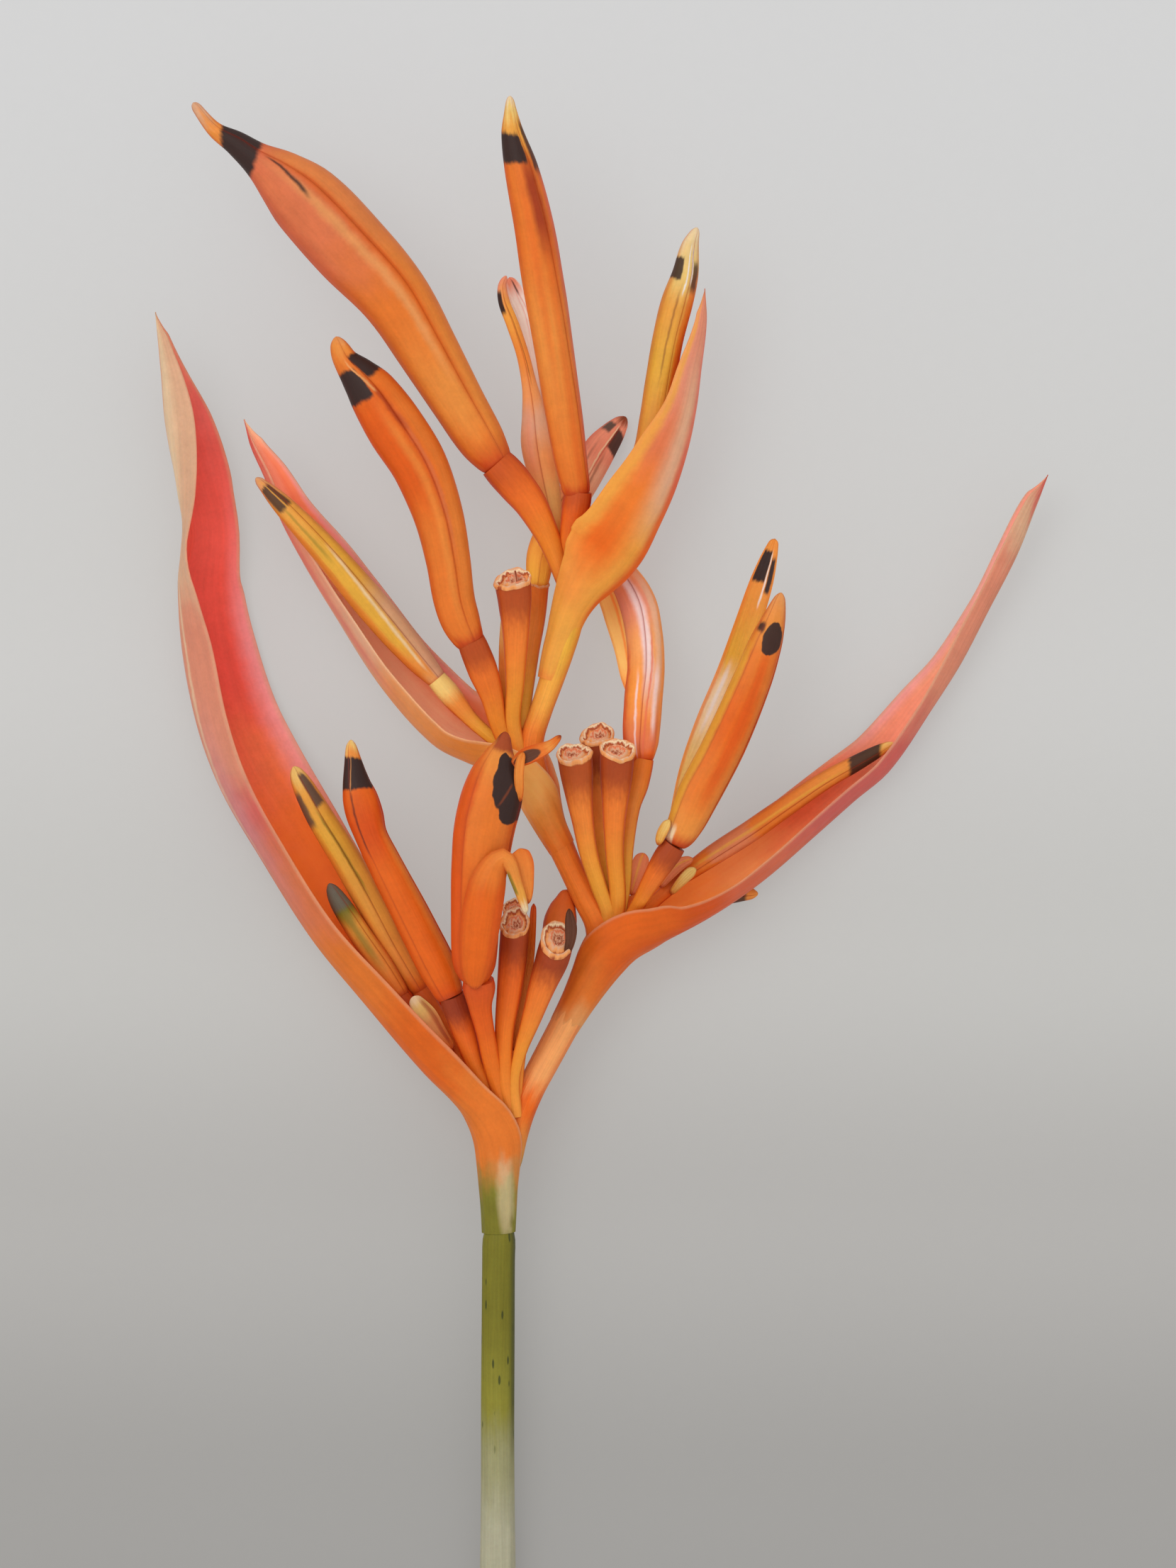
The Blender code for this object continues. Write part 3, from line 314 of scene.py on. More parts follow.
BRACT_RIGHT = [
    (-2.75, -18.8, 5.95, 1.46, 1.46, 178, 0), (-1.15, -16.4, 6.1, 1.7, 1.7, 170, 0),
    (0.3, -14.4, 6.2, 2.1, 2.05, 158, 0), (1.75, -12.6, 6.2, 2.7, 2.45, 140, 0),
    (3.3, -11.0, 6.0, 3.3, 2.8, 117, 6), (5.3, -9.8, 5.2, 3.8, 3.0, 102, 20),
    (7.4, -8.4, 4.1, 4.2, 3.2, 95, 35), (12.4, -5.3, 2.5, 4.4, 3.2, 84, 41),
    (16.6, -2.3, 1.5, 4.5, 3.1, 82, 41), (21.4, 1.75, 0.8, 4.5, 2.8, 80, 41),
    (25.5, 5.3, 0.6, 4.3, 2.6, 80, 40), (29.1, 8.3, 0.8, 4.1, 2.6, 80, 36),
    (33.3, 14.2, 1.4, 3.1, 2.2, 80, 30), (36.3, 18.7, 2.0, 2.3, 1.4, 86, 22),
    (39.4, 24.6, 2.8, 1.6, 1.0, 95, 14), (42.2, 30.1, 3.5, 1.7, 1.2, 95, 10),
    (44.1, 34.9, 4.0, 1.3, 1.1, 92, 10), (45.4, 38.2, 4.3, 0.45, 0.45, 90, 10)]
BRACT_LEFT = [
    (-5.25, -0.5, 7.2, 1.36, 1.36, 178, 0), (-6.6, 1.6, 7.4, 1.6, 1.6, 168, 0),
    (-7.9, 3.8, 7.3, 2.1, 2.0, 152, 3), (-8.9, 5.6, 6.9, 2.7, 2.3, 126, 13),
    (-9.9, 7.0, 6.3, 3.4, 2.7, 107, 27), (-11.2, 8.2, 5.6, 4.2, 3.0, 96, 38),
    (-13.2, 9.3, 4.9, 5.0, 3.3, 91, 44), (-16.9, 11.3, 4.3, 5.6, 3.2, 88, 48),
    (-22.1, 17.0, 3.8, 5.7, 2.9, 86, 50), (-27.2, 24.9, 3.8, 4.7, 2.6, 85, 50),
    (-29.8, 29.1, 4.0, 4.1, 2.3, 85, 50), (-32.4, 33.8, 4.5, 3.0, 1.8, 85, 50),
    (-34.1, 37.9, 5.0, 2.0, 1.3, 86, 48), (-35.6, 41.0, 5.4, 1.1, 0.8, 88, 45),
    (-36.5, 43.8, 5.8, 0.45, 0.4, 90, 45)]
BRACT_UPPER_RIGHT = [
    (-4.1, 16.9, 8.3, 1.28, 1.28, 178, 0), (-3.35, 19.4, 8.45, 1.46, 1.46, 172, 0),
    (-2.5, 21.8, 8.6, 1.64, 1.64, 163, 0), (-1.6, 23.7, 8.8, 2.05, 1.95, 148, 0),
    (-0.45, 25.2, 8.9, 3.0, 2.5, 130, 0), (0.8, 26.3, 9.0, 4.6, 3.0, 114, 0),
    (2.3, 27.7, 9.0, 5.9, 3.25, 102, 0), (3.9, 29.8, 9.05, 6.7, 3.4, 95, 0),
    (5.3, 32.6, 9.1, 6.5, 3.5, 91, 0), (7.1, 36.6, 9.1, 5.9, 3.4, 88, 0),
    (8.5, 40.9, 9.1, 4.6, 3.0, 88, 0), (9.4, 45.0, 9.2, 3.2, 2.6, 88, 0),
    (9.9, 48.7, 9.2, 2.3, 2.0, 88, 0), (10.5, 53.5, 9.2, 1.1, 1.2, 88, 0),
    (10.4, 57.0, 9.2, 0.45, 0.45, 90, 0)]


def unit(vectors):
    return vectors / np.linalg.norm(vectors, axis=-1, keepdims=True)


def blend(rows, count):
    """Rows on a smooth line through the given rows, closer together at its ends."""
    table = np.array(rows, float)
    steps = np.linalg.norm(np.diff(table[:, :3], axis=0), axis=1)
    marks = np.concatenate([[0], np.cumsum(steps)])
    ahead = np.minimum(np.arange(len(table)) + 1, len(table) - 1)
    back = np.maximum(np.arange(len(table)) - 1, 0)
    slopes = (table[ahead] - table[back]) / (marks[ahead] - marks[back])[:, None]
    share = np.linspace(0, 1, count)
    share -= END_CROWD * np.sin(2 * math.pi * share) / (2 * math.pi)
    here = share * marks[-1]
    i = np.clip(np.searchsorted(marks, here, "right") - 1, 0, len(table) - 2)
    step = (marks[i + 1] - marks[i])[:, None]
    t = (here - marks[i])[:, None] / step
    first = (2 * t ** 3 - 3 * t ** 2 + 1) * table[i] + (t ** 3 - 2 * t ** 2 + t) * step * slopes[i]
    second = (3 * t ** 2 - 2 * t ** 3) * table[i + 1] + (t ** 3 - t ** 2) * step * slopes[i + 1]
    return first + second, here


class Line:
    """Centre line of a piece with its directions and lengths at every ring."""

    def __init__(self, rows, count):
        table, self.reach = blend(rows, count)
        self.points = table[:, :3]
        self.values = table[:, 3:]
        self.left = self.reach[-1] - self.reach
        self.along = self.reach / self.reach[-1]
        self.travel = unit(np.gradient(self.points, axis=0))
        self.side = unit(np.cross(self.travel, (0.0, 0.0, 1.0)))
        self.over = np.cross(self.side, self.travel)

    def spread(self, across, up):
        """Points at these distances across and above the line, ring by ring."""
        flat = self.side[:, None] * across[..., None] + self.over[:, None] * up[..., None]
        return self.points[:, None] + flat


def rounding(distance, length):
    """Share of the full width at a distance from a rounded end."""
    left = np.clip(1 - distance / length, 0, 1)
    return np.sqrt(np.maximum(1 - left ** 2, 0.0009))


def ripple(along, turns, seed):
    """Slow unevenness of a grown surface, about minus one to one."""
    wave = np.sin(11 * along + 2 * turns + seed) + 0.7 * np.sin(23 * along - turns + 2.3 * seed)
    return 0.5 * (wave + 0.4 * np.sin(41 * along + 3 * turns + 4.1 * seed))


def patch(grid, line, **fields):
    """One tube of points, rings by sides, with the values that its colours use."""
    shape = grid.shape[:2]
    column = {"along": line.along[:, None], "reach": line.reach[:, None], **fields}
    return grid, {key: np.broadcast_to(value, shape) for key, value in column.items()}


def lengthened(rows, extra):
    """Rows with one more beyond the last, straight on."""
    last, before = np.array(rows[-1]), np.array(rows[-2])
    place = last[:3] + unit(last[:3] - before[:3]) * extra
    return [*rows, (*place, last[3] * 0.94)]


def circle(sides):
    return np.arange(sides)[None] * 2 * math.pi / sides


def petal_tube(rows, seam, ridges, heel, seed):
    """Closed flower: three sepals whose edges overlap along the seams."""
    line = Line(rows, PETAL_RINGS)
    share = np.tile(SEPAL_STOPS, SEPALS)
    number = np.repeat(np.arange(SEPALS), len(SEPAL_STOPS))
    first = np.radians(seam[0] + (seam[1] - seam[0]) * line.along)[:, None]
    turns = first + (number + share)[None] * 2 * math.pi / SEPALS
    heel_share, heel_length = heel
    half = line.values[:, 0]
    half = half * (1 - (1 - heel_share) * (1 - rounding(line.reach, heel_length)))
    half = half * rounding(line.left, 0.9 * half[-1] + 0.35)
    lap = np.exp((share - 1) / 0.10) - np.exp(-share / 0.06)
    fade = np.sin(math.pi * np.clip(line.along, 0.04, 0.97))[:, None] ** 0.4
    shape = 1 + SEPAL_STEP * lap[None] * fade
    shape = shape + ridges * np.cos(RIDGE_COUNT * (turns - first) + 3 * line.along[:, None])
    shape = shape + PETAL_UNEVEN * ripple(line.along[:, None], turns, seed)
    across = half[:, None] * shape * np.cos(turns)
    up = half[:, None] * shape * np.sin(turns) * PETAL_FLAT
    groove = np.exp(-share / 0.03) + np.exp((share - 1) / 0.012)
    return patch(line.spread(across, up), line, side=np.cos(turns), lift=np.sin(turns),
                 seam=np.clip(groove, 0, 1)[None])


def blade_sheet(rows, cup, thick=BLADE_THICK, wave=0.0, span=(0.0, 1.0), seed=0.0):
    """Thin single sepal or scale. Cup hollows it; span is its part of the colours."""
    line = Line(rows, BLADE_RINGS)
    top = np.linspace(-1, 1, BLADE_STEPS + 1)
    across_share = np.concatenate([top, top[-2:0:-1]])
    face = np.concatenate([np.ones(len(top)), -np.ones(len(top) - 2)])
    face[[0, len(top) - 1]] = 0
    half = line.values[:, 0] * rounding(line.reach, 0.6)
    half = half * rounding(line.left, 0.5)
    body = thick * np.sqrt(np.maximum(1 - across_share ** 2, 0.02)) / 2
    sag = cup * half[:, None] * (across_share ** 2 - 0.3)[None]
    sway = wave * np.sin(9 * line.along + seed)[:, None] * across_share[None] ** 2
    veins = 0.03 * np.cos(across_share * 15)[None] * (face > 0)[None]
    up = sag + sway + veins + face[None] * body[None] * np.minimum(1, 3 * half)[:, None]
    across = half[:, None] * across_share[None]
    along = span[0] + (span[1] - span[0]) * line.along[:, None]
    return patch(line.spread(across, up), line, side=across_share[None], lift=face[None],
                 along=along)


def round_tube(line, half, turns, flat, rib_count, seed):
    """Ribbed round tube about a line."""
    shape = 1 + RIB_HEIGHT * np.cos(rib_count * turns + 2 * line.along[:, None])
    shape = shape + STALK_UNEVEN * ripple(line.along[:, None], turns, seed)
    across = half[:, None] * shape * np.cos(turns)
    up = half[:, None] * shape * np.sin(turns) * flat
    return line.spread(across, up)


# Shares of the stalk's width and steps outward, from the lip to the middle of a scar.
SCAR_RINGS = ((1.05, 0.12), (1.06, 0.28), (1.0, 0.44), (0.92, 0.46), (0.84, 0.32), (0.77, 0.10),
              (0.70, 0.02), (0.62, 0.14), (0.54, 0.34), (0.46, 0.36), (0.38, 0.16), (0.28, -0.04),
              (0.16, 0.02), (0.05, 0.12))
SCAR_HEIGHT, SCAR_DRIFT = 0.55, 0.20


def scar_grid(rim, out, half, tip, seed):
    """Rings from a stalk's torn lip to the middle of its scar, which tip raises."""
    turns = circle(STALK_SIDES)[0]
    middle = rim.mean(axis=0)
    torn = 0.20 * np.sin(turns + seed) + 0.12 * np.sin(2 * turns + 2.3 * seed)
    torn = torn + 0.05 * np.sin(5 * turns + seed) + 0.05 * np.sin(9 * turns + 3 * seed)
    drift = (rim[int(7 * seed + 22) % STALK_SIDES] - middle) * SCAR_DRIFT
    rings = []
    for share, step in SCAR_RINGS:
        raised = step + torn * share + (tip if share < 0.1 else 0)
        core = middle + drift * (1 - share)
        rings.append(core + (rim - middle) * share + out * raised[:, None] * half * SCAR_HEIGHT)
    return rings


def stalk_tube(rows, hue, burn, lean, scar, tip, seed):
    """Old flower stalk. Without a scar, tip is the length over which its top narrows."""
    line = Line(rows if scar else lengthened(rows, PLAIN_TOP), STALK_RINGS)
    turns = circle(STALK_SIDES)
    half = line.values[:, 0]
    if tip and not scar:
        half = half * rounding(line.left, tip)
    grid = round_tube(line, half, turns, PETAL_FLAT, STALK_RIBS, seed)
    near_top = np.clip(1 - line.left / (1.6 * half[-1]), 0, 1)
    lowered = line.travel * (near_top * half[-1] * lean)[:, None]
    grid = grid - lowered[:, None] * np.sin(turns)[0][None, :, None]
    depth = np.zeros(len(line.along))
    extra = 0
    if scar:
        grid = np.concatenate([grid, scar_grid(grid[-1], line.travel[-1], half[-1], tip, seed)])
        depth = np.concatenate([depth, [1 - share * 0.85 for share, _ in SCAR_RINGS]])
        extra = len(SCAR_RINGS)
    along = np.append(line.along, np.ones(extra))
    reach = np.append(line.reach, np.full(extra, line.reach[-1]))
    return patch(grid, line, along=along[:, None], reach=reach[:, None], scar=depth[:, None],
                 side=np.cos(turns), lift=np.sin(turns), hue=hue, burn=burn)


def stem_tube(rows):
    """Zigzag stem with fine ribs, cut flat at its foot."""
    line = Line(rows, STEM_RINGS)
    turns = circle(STEM_SIDES)
    grid = round_tube(line, line.values[:, 0], turns, 1.0, STEM_RIBS, 1.0)
    return patch(grid, line, side=np.cos(turns), lift=np.sin(turns))


def leaf_axes(line, tilt, opening):
    """Directions out of a leaf's mouth and across it, ring by ring."""
    flat = np.stack([line.travel[:, 1], -line.travel[:, 0], np.zeros(len(line.along))], axis=1)
    flat = unit(flat) * opening
    mouth = flat * np.cos(tilt) + np.array([[0.0, 0.0, 1.0]]) * np.sin(tilt)
    mouth = unit(mouth - line.travel * (mouth * line.travel).sum(axis=1, keepdims=True))
    return mouth, np.cross(line.travel, mouth)


def section_values(spread):
    """Where each point of a leaf's section lies: across it, and outside or inside."""
    one = np.ones((1, len(LIP_ROUND)))
    share = np.array([LIP_ROUND])[..., 0]
    side = np.concatenate([spread, one, spread[:, ::-1], -one], axis=1)
    inner = np.concatenate([0 * spread, share, 0 * spread + 1, share[:, ::-1]], axis=1)
    return side, inner


def boat_shell(rows, opening, seed):
    """Folded leaf with thin uneven rims. Opening is plus one for a mouth right of travel."""
    line = Line(rows, LEAF_RINGS)
    point = np.clip(line.left / LEAF_POINT, 0.1, 1)[:, None] ** 0.8
    deep, wide = line.values[:, 0:1] * point, line.values[:, 1:2] * point
    rim, tilt = np.radians(line.values[:, 2:3]), np.radians(line.values[:, 3:4])
    mouth, across = leaf_axes(line, tilt, opening)
    centre = line.points + mouth * deep
    along = line.along[:, None]
    spread = np.linspace(-1, 1, LEAF_STEPS + 1)[None]
    wall = LEAF_WALL + (LEAF_EDGE - LEAF_WALL) * np.abs(spread) ** 3
    wall = wall * np.minimum(1, deep / 1.2)
    rim_wave = LEAF_WAVE * (np.sin(17 * along + seed) + 0.6 * np.sin(39 * along + 2 * seed))
    rim_wave = rim_wave * np.abs(spread) ** 6 * np.minimum(1, deep / FULL_DEPTH)
    keel = LEAF_CREASE * np.exp(-(spread * rim / 0.16) ** 2)
    veins = 0.02 * np.cos(spread * 34)
    out = 1 + keel + LEAF_FLARE * np.abs(spread) ** 8 * np.minimum(1, deep / FULL_DEPTH)

    def shell(inward, turn_share):
        """Surface this far inside the outer one."""
        turn = turn_share * rim
        level = -mouth[:, None] * (np.cos(turn) * (deep * out - inward))[..., None]
        level = level + across[:, None] * (np.sin(turn) * (wide * out - inward))[..., None]
        return centre[:, None] + level + mouth[:, None] * rim_wave[..., None]

    outside = shell(-veins, spread)
    inside = shell(wall, spread)
    lip = np.minimum(0.5 * wall / np.maximum(deep, 0.3), 0.3) / rim
    edges = [shell(wall * share, spread * (1 + lip * push)) for share, push in LIP_ROUND]
    last_rim = [edge[:, -1:] for edge in edges]
    first_rim = [edge[:, :1] for edge in reversed(edges)]
    grid = np.concatenate([outside, *last_rim, inside[:, ::-1], *first_rim], axis=1)
    side, inner = section_values(spread)
    return patch(grid, line, side=side, inner=inner, lift=inner)


FIELDS = ("along", "reach", "side", "lift", "seam", "inner", "scar", "hue", "burn")


def tube_faces(rings, sides, start):
    """Quads round a tube and a fan over each end. The ends' middles follow its points."""
    index = np.arange(rings * sides).reshape(rings, sides) + start
    turned = np.roll(index, -1, axis=1)
    quads = np.stack([index[:-1], turned[:-1], turned[1:], index[1:]], axis=-1)
    foot = start + rings * sides
    faces = quads.reshape(-1, 4).tolist()
    faces.extend([foot, b, a] for a, b in zip(index[0].tolist(), turned[0].tolist()))
    faces.extend([foot + 1, a, b] for a, b in zip(index[-1].tolist(), turned[-1].tolist()))
    return faces


def outward(mesh):
    """Turn every face of a closed mesh outward."""
    work = bmesh.new()
    work.from_mesh(mesh)
    bmesh.ops.recalc_face_normals(work, faces=work.faces)
    work.to_mesh(mesh)
    work.free()


def add_object(name, data):
    made = bpy.data.objects.new(name, data)
    bpy.context.scene.collection.objects.link(made)
    return made


def merged(patches):
    """Points, faces and colour values of several tubes as one cloud, none below the table."""
    points, faces = [], []
    values = {key: [] for key in FIELDS}
    start = 0
    for grid, fields in patches:
        rings, sides = grid.shape[:2]
        faces.extend(tube_faces(rings, sides, start))
        points.append(grid.reshape(-1, 3))
        points.append(np.stack([grid[0].mean(axis=0), grid[-1].mean(axis=0)]))
        for key in FIELDS:
            field = fields.get(key, np.zeros((rings, sides)))
            values[key].append(field.reshape(-1))
            values[key].append(np.array([field[0].mean(), field[-1].mean()]))
        start += rings * sides + 2
    cloud = np.concatenate(points)
    cloud[:, 2] = np.maximum(cloud[:, 2], 0.0)
    return cloud, faces, {key: np.concatenate(parts) for key, parts in values.items()}


def build_piece(name, patches, material):
    """Mesh of one or more tubes, riding on the body in place of its solid."""
    cloud, faces, values = merged(patches)
    mesh = bpy.data.meshes.new(name)
    mesh.from_pydata((cloud * MM).tolist(), [], faces)
    outward(mesh)
    for key in FIELDS:
        attribute = mesh.attributes.new(key, "FLOAT", "POINT")
        attribute.data.foreach_set("value", values[key].astype(np.float32))
    mesh.materials.append(material)
    mesh.shade_smooth()
    mesh.set_sharp_from_angle(angle=SMOOTH_ANGLE)
    piece = add_object(name + "_look", mesh)
    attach(piece, BODY)
    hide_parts(name)


class Paint:
    """Node tree of one material, with short calls for the nodes it needs."""

    def __init__(self, name):
        self.material = bpy.data.materials.new(name)
        self.material.use_nodes = True
        self.tree = self.material.node_tree
        self.shader = self.tree.nodes["Principled BSDF"]

    def node(self, kind, **settings):
        made = self.tree.nodes.new(kind)
        for key, value in settings.items():
            setattr(made, key, value)
        return made

    def feed(self, socket, value):
        """Link a socket, or set its plain value."""
        if isinstance(value, bpy.types.NodeSocket):
            self.tree.links.new(value, socket)
        else:
            socket.default_value = value

    def surface(self, name, value):
        """Feed one input of the surface."""
        self.feed(self.shader.inputs[name], value)

    def field(self, name):
        return self.node("ShaderNodeAttribute", attribute_name=name).outputs["Fac"]

    def math(self, operation, *values):
        made = self.node("ShaderNodeMath", operation=operation)
        for socket, value in zip(made.inputs, values):
            self.feed(socket, value)
        return made.outputs[0]

    def add(self, first, second):
        return self.math("ADD", first, second)

    def times(self, first, second):
        return self.math("MULTIPLY", first, second)

    def scaled(self, value, factor, offset):
        return self.math("MULTIPLY_ADD", value, factor, offset)

    def step(self, value, low, high):
        """Smooth rise from zero at low to one at high."""
        made = self.node("ShaderNodeMapRange", interpolation_type="SMOOTHSTEP")
        self.feed(made.inputs["Value"], value)
        made.inputs["From Min"].default_value = low
        made.inputs["From Max"].default_value = high
        return made.outputs["Result"]

    def flow(self, across, length):
        """Coordinates that run with the piece: across per half width, length per millimetre."""
        made = self.node("ShaderNodeCombineXYZ")
        self.feed(made.inputs[0], self.times(self.field("side"), across))
        self.feed(made.inputs[1], self.times(self.field("lift"), across))
        self.feed(made.inputs[2], self.times(self.field("reach"), length))
        return made.outputs[0]

    def centred(self, value, amount):
        """Value from zero to one turned into plus or minus half the amount."""
        return self.scaled(value, amount, -amount / 2)

    def noise(self, coordinates, scale, detail=2.0):
        made = self.node("ShaderNodeTexNoise")
        self.feed(made.inputs["Vector"], coordinates)
        made.inputs["Scale"].default_value = scale
        made.inputs["Detail"].default_value = detail
        return made.outputs["Fac"]

    def flow_noise(self, across, length, detail=2.0):
        """Noise that runs with the piece."""
        return self.noise(self.flow(across, length), 1.0, detail)

    def mix(self, amount, first, second, blend_type="MIX"):
        made = self.node("ShaderNodeMix", data_type="RGBA", blend_type=blend_type)
        self.feed(made.inputs[0], amount)
        self.feed(made.inputs[6], first)
        self.feed(made.inputs[7], second)
        return made.outputs[2]

    def ramp(self, value, stops):
        made = self.node("ShaderNodeValToRGB")
        made.color_ramp.interpolation = "EASE"
        elements = made.color_ramp.elements
        while len(elements) < len(stops):
            elements.new(1.0)
        for element, (place, colour) in zip(elements, stops):
            element.position = place
            element.color = colour
        self.feed(made.inputs["Fac"], value)
        return made.outputs["Color"]

    def shifted(self, colour, value):
        """Colour made lighter or darker by a factor."""
        made = self.node("ShaderNodeHueSaturation")
        self.feed(made.inputs["Color"], colour)
        self.feed(made.inputs["Value"], value)
        return made.outputs["Color"]


# A mark lies along a line from start to end, each a share of the length and of the half width.
Mark = namedtuple("Mark", "colour start end half fade blur strength slant", defaults=(1.0, 0.0))
WHOLE_WIDTH = 2.0


def band(colour, first, last, fade, strength=1.0, slant=0.0):
    """Mark right round a piece, between two shares of its length."""
    return Mark(colour, (first, 0), (last, 0), WHOLE_WIDTH, fade, 0.0, strength, slant)


def mark_mask(paint, mark, along, side):
    (first, side_first), (last, side_last) = mark.start, mark.end
    if mark.slant:
        along = paint.add(along, paint.times(side, mark.slant))
    begun = paint.step(along, first - mark.fade, first + mark.fade)
    left = paint.step(along, last + mark.fade, last - mark.fade)
    mask = paint.times(begun, left)
    if mark.half < WHOLE_WIDTH:
        slope = (side_last - side_first) / (last - first)
        centre = paint.scaled(along, slope, side_first - slope * first)
        away = paint.math("ABSOLUTE", paint.math("SUBTRACT", side, centre))
        near = paint.step(away, mark.half + mark.blur, max(mark.half - mark.blur, 0))
        mask = paint.times(mask, near)
    return paint.times(mask, mark.strength)


# A spot is an oval: its middle and half sizes, as shares of the length and of the half width.
Spot = namedtuple("Spot", "colour middle size blur strength", defaults=(0.12, 1.0))


def spot_mask(paint, spot, along, side):
    far = []
    for value, middle, size in zip((along, side), spot.middle, spot.size):
        share = paint.scaled(value, 1 / size, -middle / size)
        far.append(paint.times(share, share))
    inside = paint.step(paint.add(*far), 1 + spot.blur, 1 - spot.blur)
    return paint.times(inside, spot.strength)


def marked(paint, colour, marks, along, side):
    """Colour with every mark and spot laid over it in turn."""
    for mark in marks:
        shape = spot_mask if isinstance(mark, Spot) else mark_mask
        colour = paint.mix(shape(paint, mark, along, side), colour, mark.colour)
    return colour


# Mottling in repeats for each metre, then relief and inner glow in millimetres.
FINE_SCALE, BROAD_SCALE, FLOOR_SCALE = 3200.0, 620.0, 900.0
RELIEF, GLOW_DEPTH = 0.12, 0.9
GLOW_COLOURS = (1.0, 0.35, 0.15)
WAX_SHEEN = 0.16

# How strongly edges (painted shade on petal flanks, rim colour on leaves), seams (painted
# shade), veins and mottling show, then roughness, relief, inner glow and brightness.
Finish = namedtuple("Finish", "edge edge_colour seam streak grain rough bump glow gain",
                    defaults=(0.4, EMBER, 0.6, 0.24, 0.16, 0.46, 0.45, 0.12, 1.0))


def finish_surface(paint, colour, finish, streaks, coarse):
    """Veins, fine mottling, gloss and relief that every petal and leaf shares."""
    place = paint.node("ShaderNodeTexCoord").outputs["Object"]
    fine = paint.noise(place, FINE_SCALE, 3.0)
    value = paint.scaled(streaks, finish.streak, finish.gain - finish.streak / 2)
    value = paint.add(value, paint.centred(fine, finish.grain))
    value = paint.add(value, paint.centred(coarse, 0.12))
    value = paint.add(value, paint.centred(paint.noise(place, BROAD_SCALE, 3.0), 0.22))
    paint.surface("Base Color", paint.shifted(colour, value))
    paint.surface("Roughness", paint.scaled(fine, 0.16, finish.rough - 0.08))
    height = paint.add(paint.times(streaks, 0.7), paint.times(fine, 0.3))
    relief = paint.node("ShaderNodeBump")
    relief.inputs["Strength"].default_value = finish.bump
    relief.inputs["Distance"].default_value = RELIEF * MM
    paint.feed(relief.inputs["Height"], height)
    paint.surface("Normal", relief.outputs["Normal"])
    paint.surface("Specular IOR Level", WAX_SHEEN)
    paint.surface("Subsurface Weight", finish.glow)
    paint.surface("Subsurface Scale", GLOW_DEPTH * MM)
    paint.surface("Subsurface Radius", GLOW_COLOURS)


def petal_paint(name, ramp, marks=(), finish=Finish()):
    """Waxy petal: colours along its length, marks, and painted shade darkening its seams and edges.
    """
    paint = Paint(name)
    side = paint.field("side")
    coarse = paint.flow_noise(1.6, 0.22)
    ragged = paint.flow_noise(3.4, 0.9, 2.0)
    streaks = paint.flow_noise(7.0, 0.16, 4.0)
    along = paint.add(paint.field("along"), paint.centred(ragged, 0.020))
    across = paint.add(side, paint.centred(ragged, 0.14))
    colour = paint.ramp(paint.add(along, paint.centred(coarse, 0.12)), ramp)
    # Painted shade: the flanks, as seen from above, darken towards the edges.
    rim = paint.step(paint.math("ABSOLUTE", across), 0.62, 1.02)
    colour = paint.mix(paint.times(rim, finish.edge), colour, finish.edge_colour, "MULTIPLY")
    colour = marked(paint, colour, marks, along, across)
    # Painted shade in the seam grooves between the sepals.
    seam = paint.times(paint.field("seam"), finish.seam)
    colour = paint.mix(seam, colour, MAROON)
    joint = paint.step(paint.field("reach"), 0.7, 0.1)
    colour = paint.mix(paint.times(joint, 0.7), colour, RUST)
    finish_surface(paint, colour, finish, streaks, coarse)
    return paint.material


def leaf_paint(name, outer, inner, outer_marks=(), inner_marks=(), rim=CREAM, finish=Finish()):
    """Folded leaf with its own colours outside, inside and along its rims."""
    paint = Paint(name)
    side = paint.field("side")
    coarse = paint.flow_noise(1.4, 0.12)
    ragged = paint.flow_noise(6.0, 0.6, 3.0)
    streaks = paint.flow_noise(13.0, 0.07, 4.0)
    along = paint.add(paint.field("along"), paint.centred(ragged, 0.03))
    across = paint.add(side, paint.centred(ragged, 0.10))
    drifted = paint.add(along, paint.centred(coarse, 0.14))
    outside = marked(paint, paint.ramp(drifted, outer), outer_marks, along, across)
    inside = marked(paint, paint.ramp(drifted, inner), inner_marks, along, across)
    # The inside takes painted light that lifts the shade in the fold.
    colour = paint.mix(paint.field("inner"), outside, paint.shifted(inside, INNER_PAINTED_LIGHT))
    edge = paint.step(paint.math("ABSOLUTE", side), 0.955, 1.0)
    colour = paint.mix(paint.times(edge, finish.edge), colour, rim)
    finish_surface(paint, colour, finish, streaks, coarse)
    return paint.material


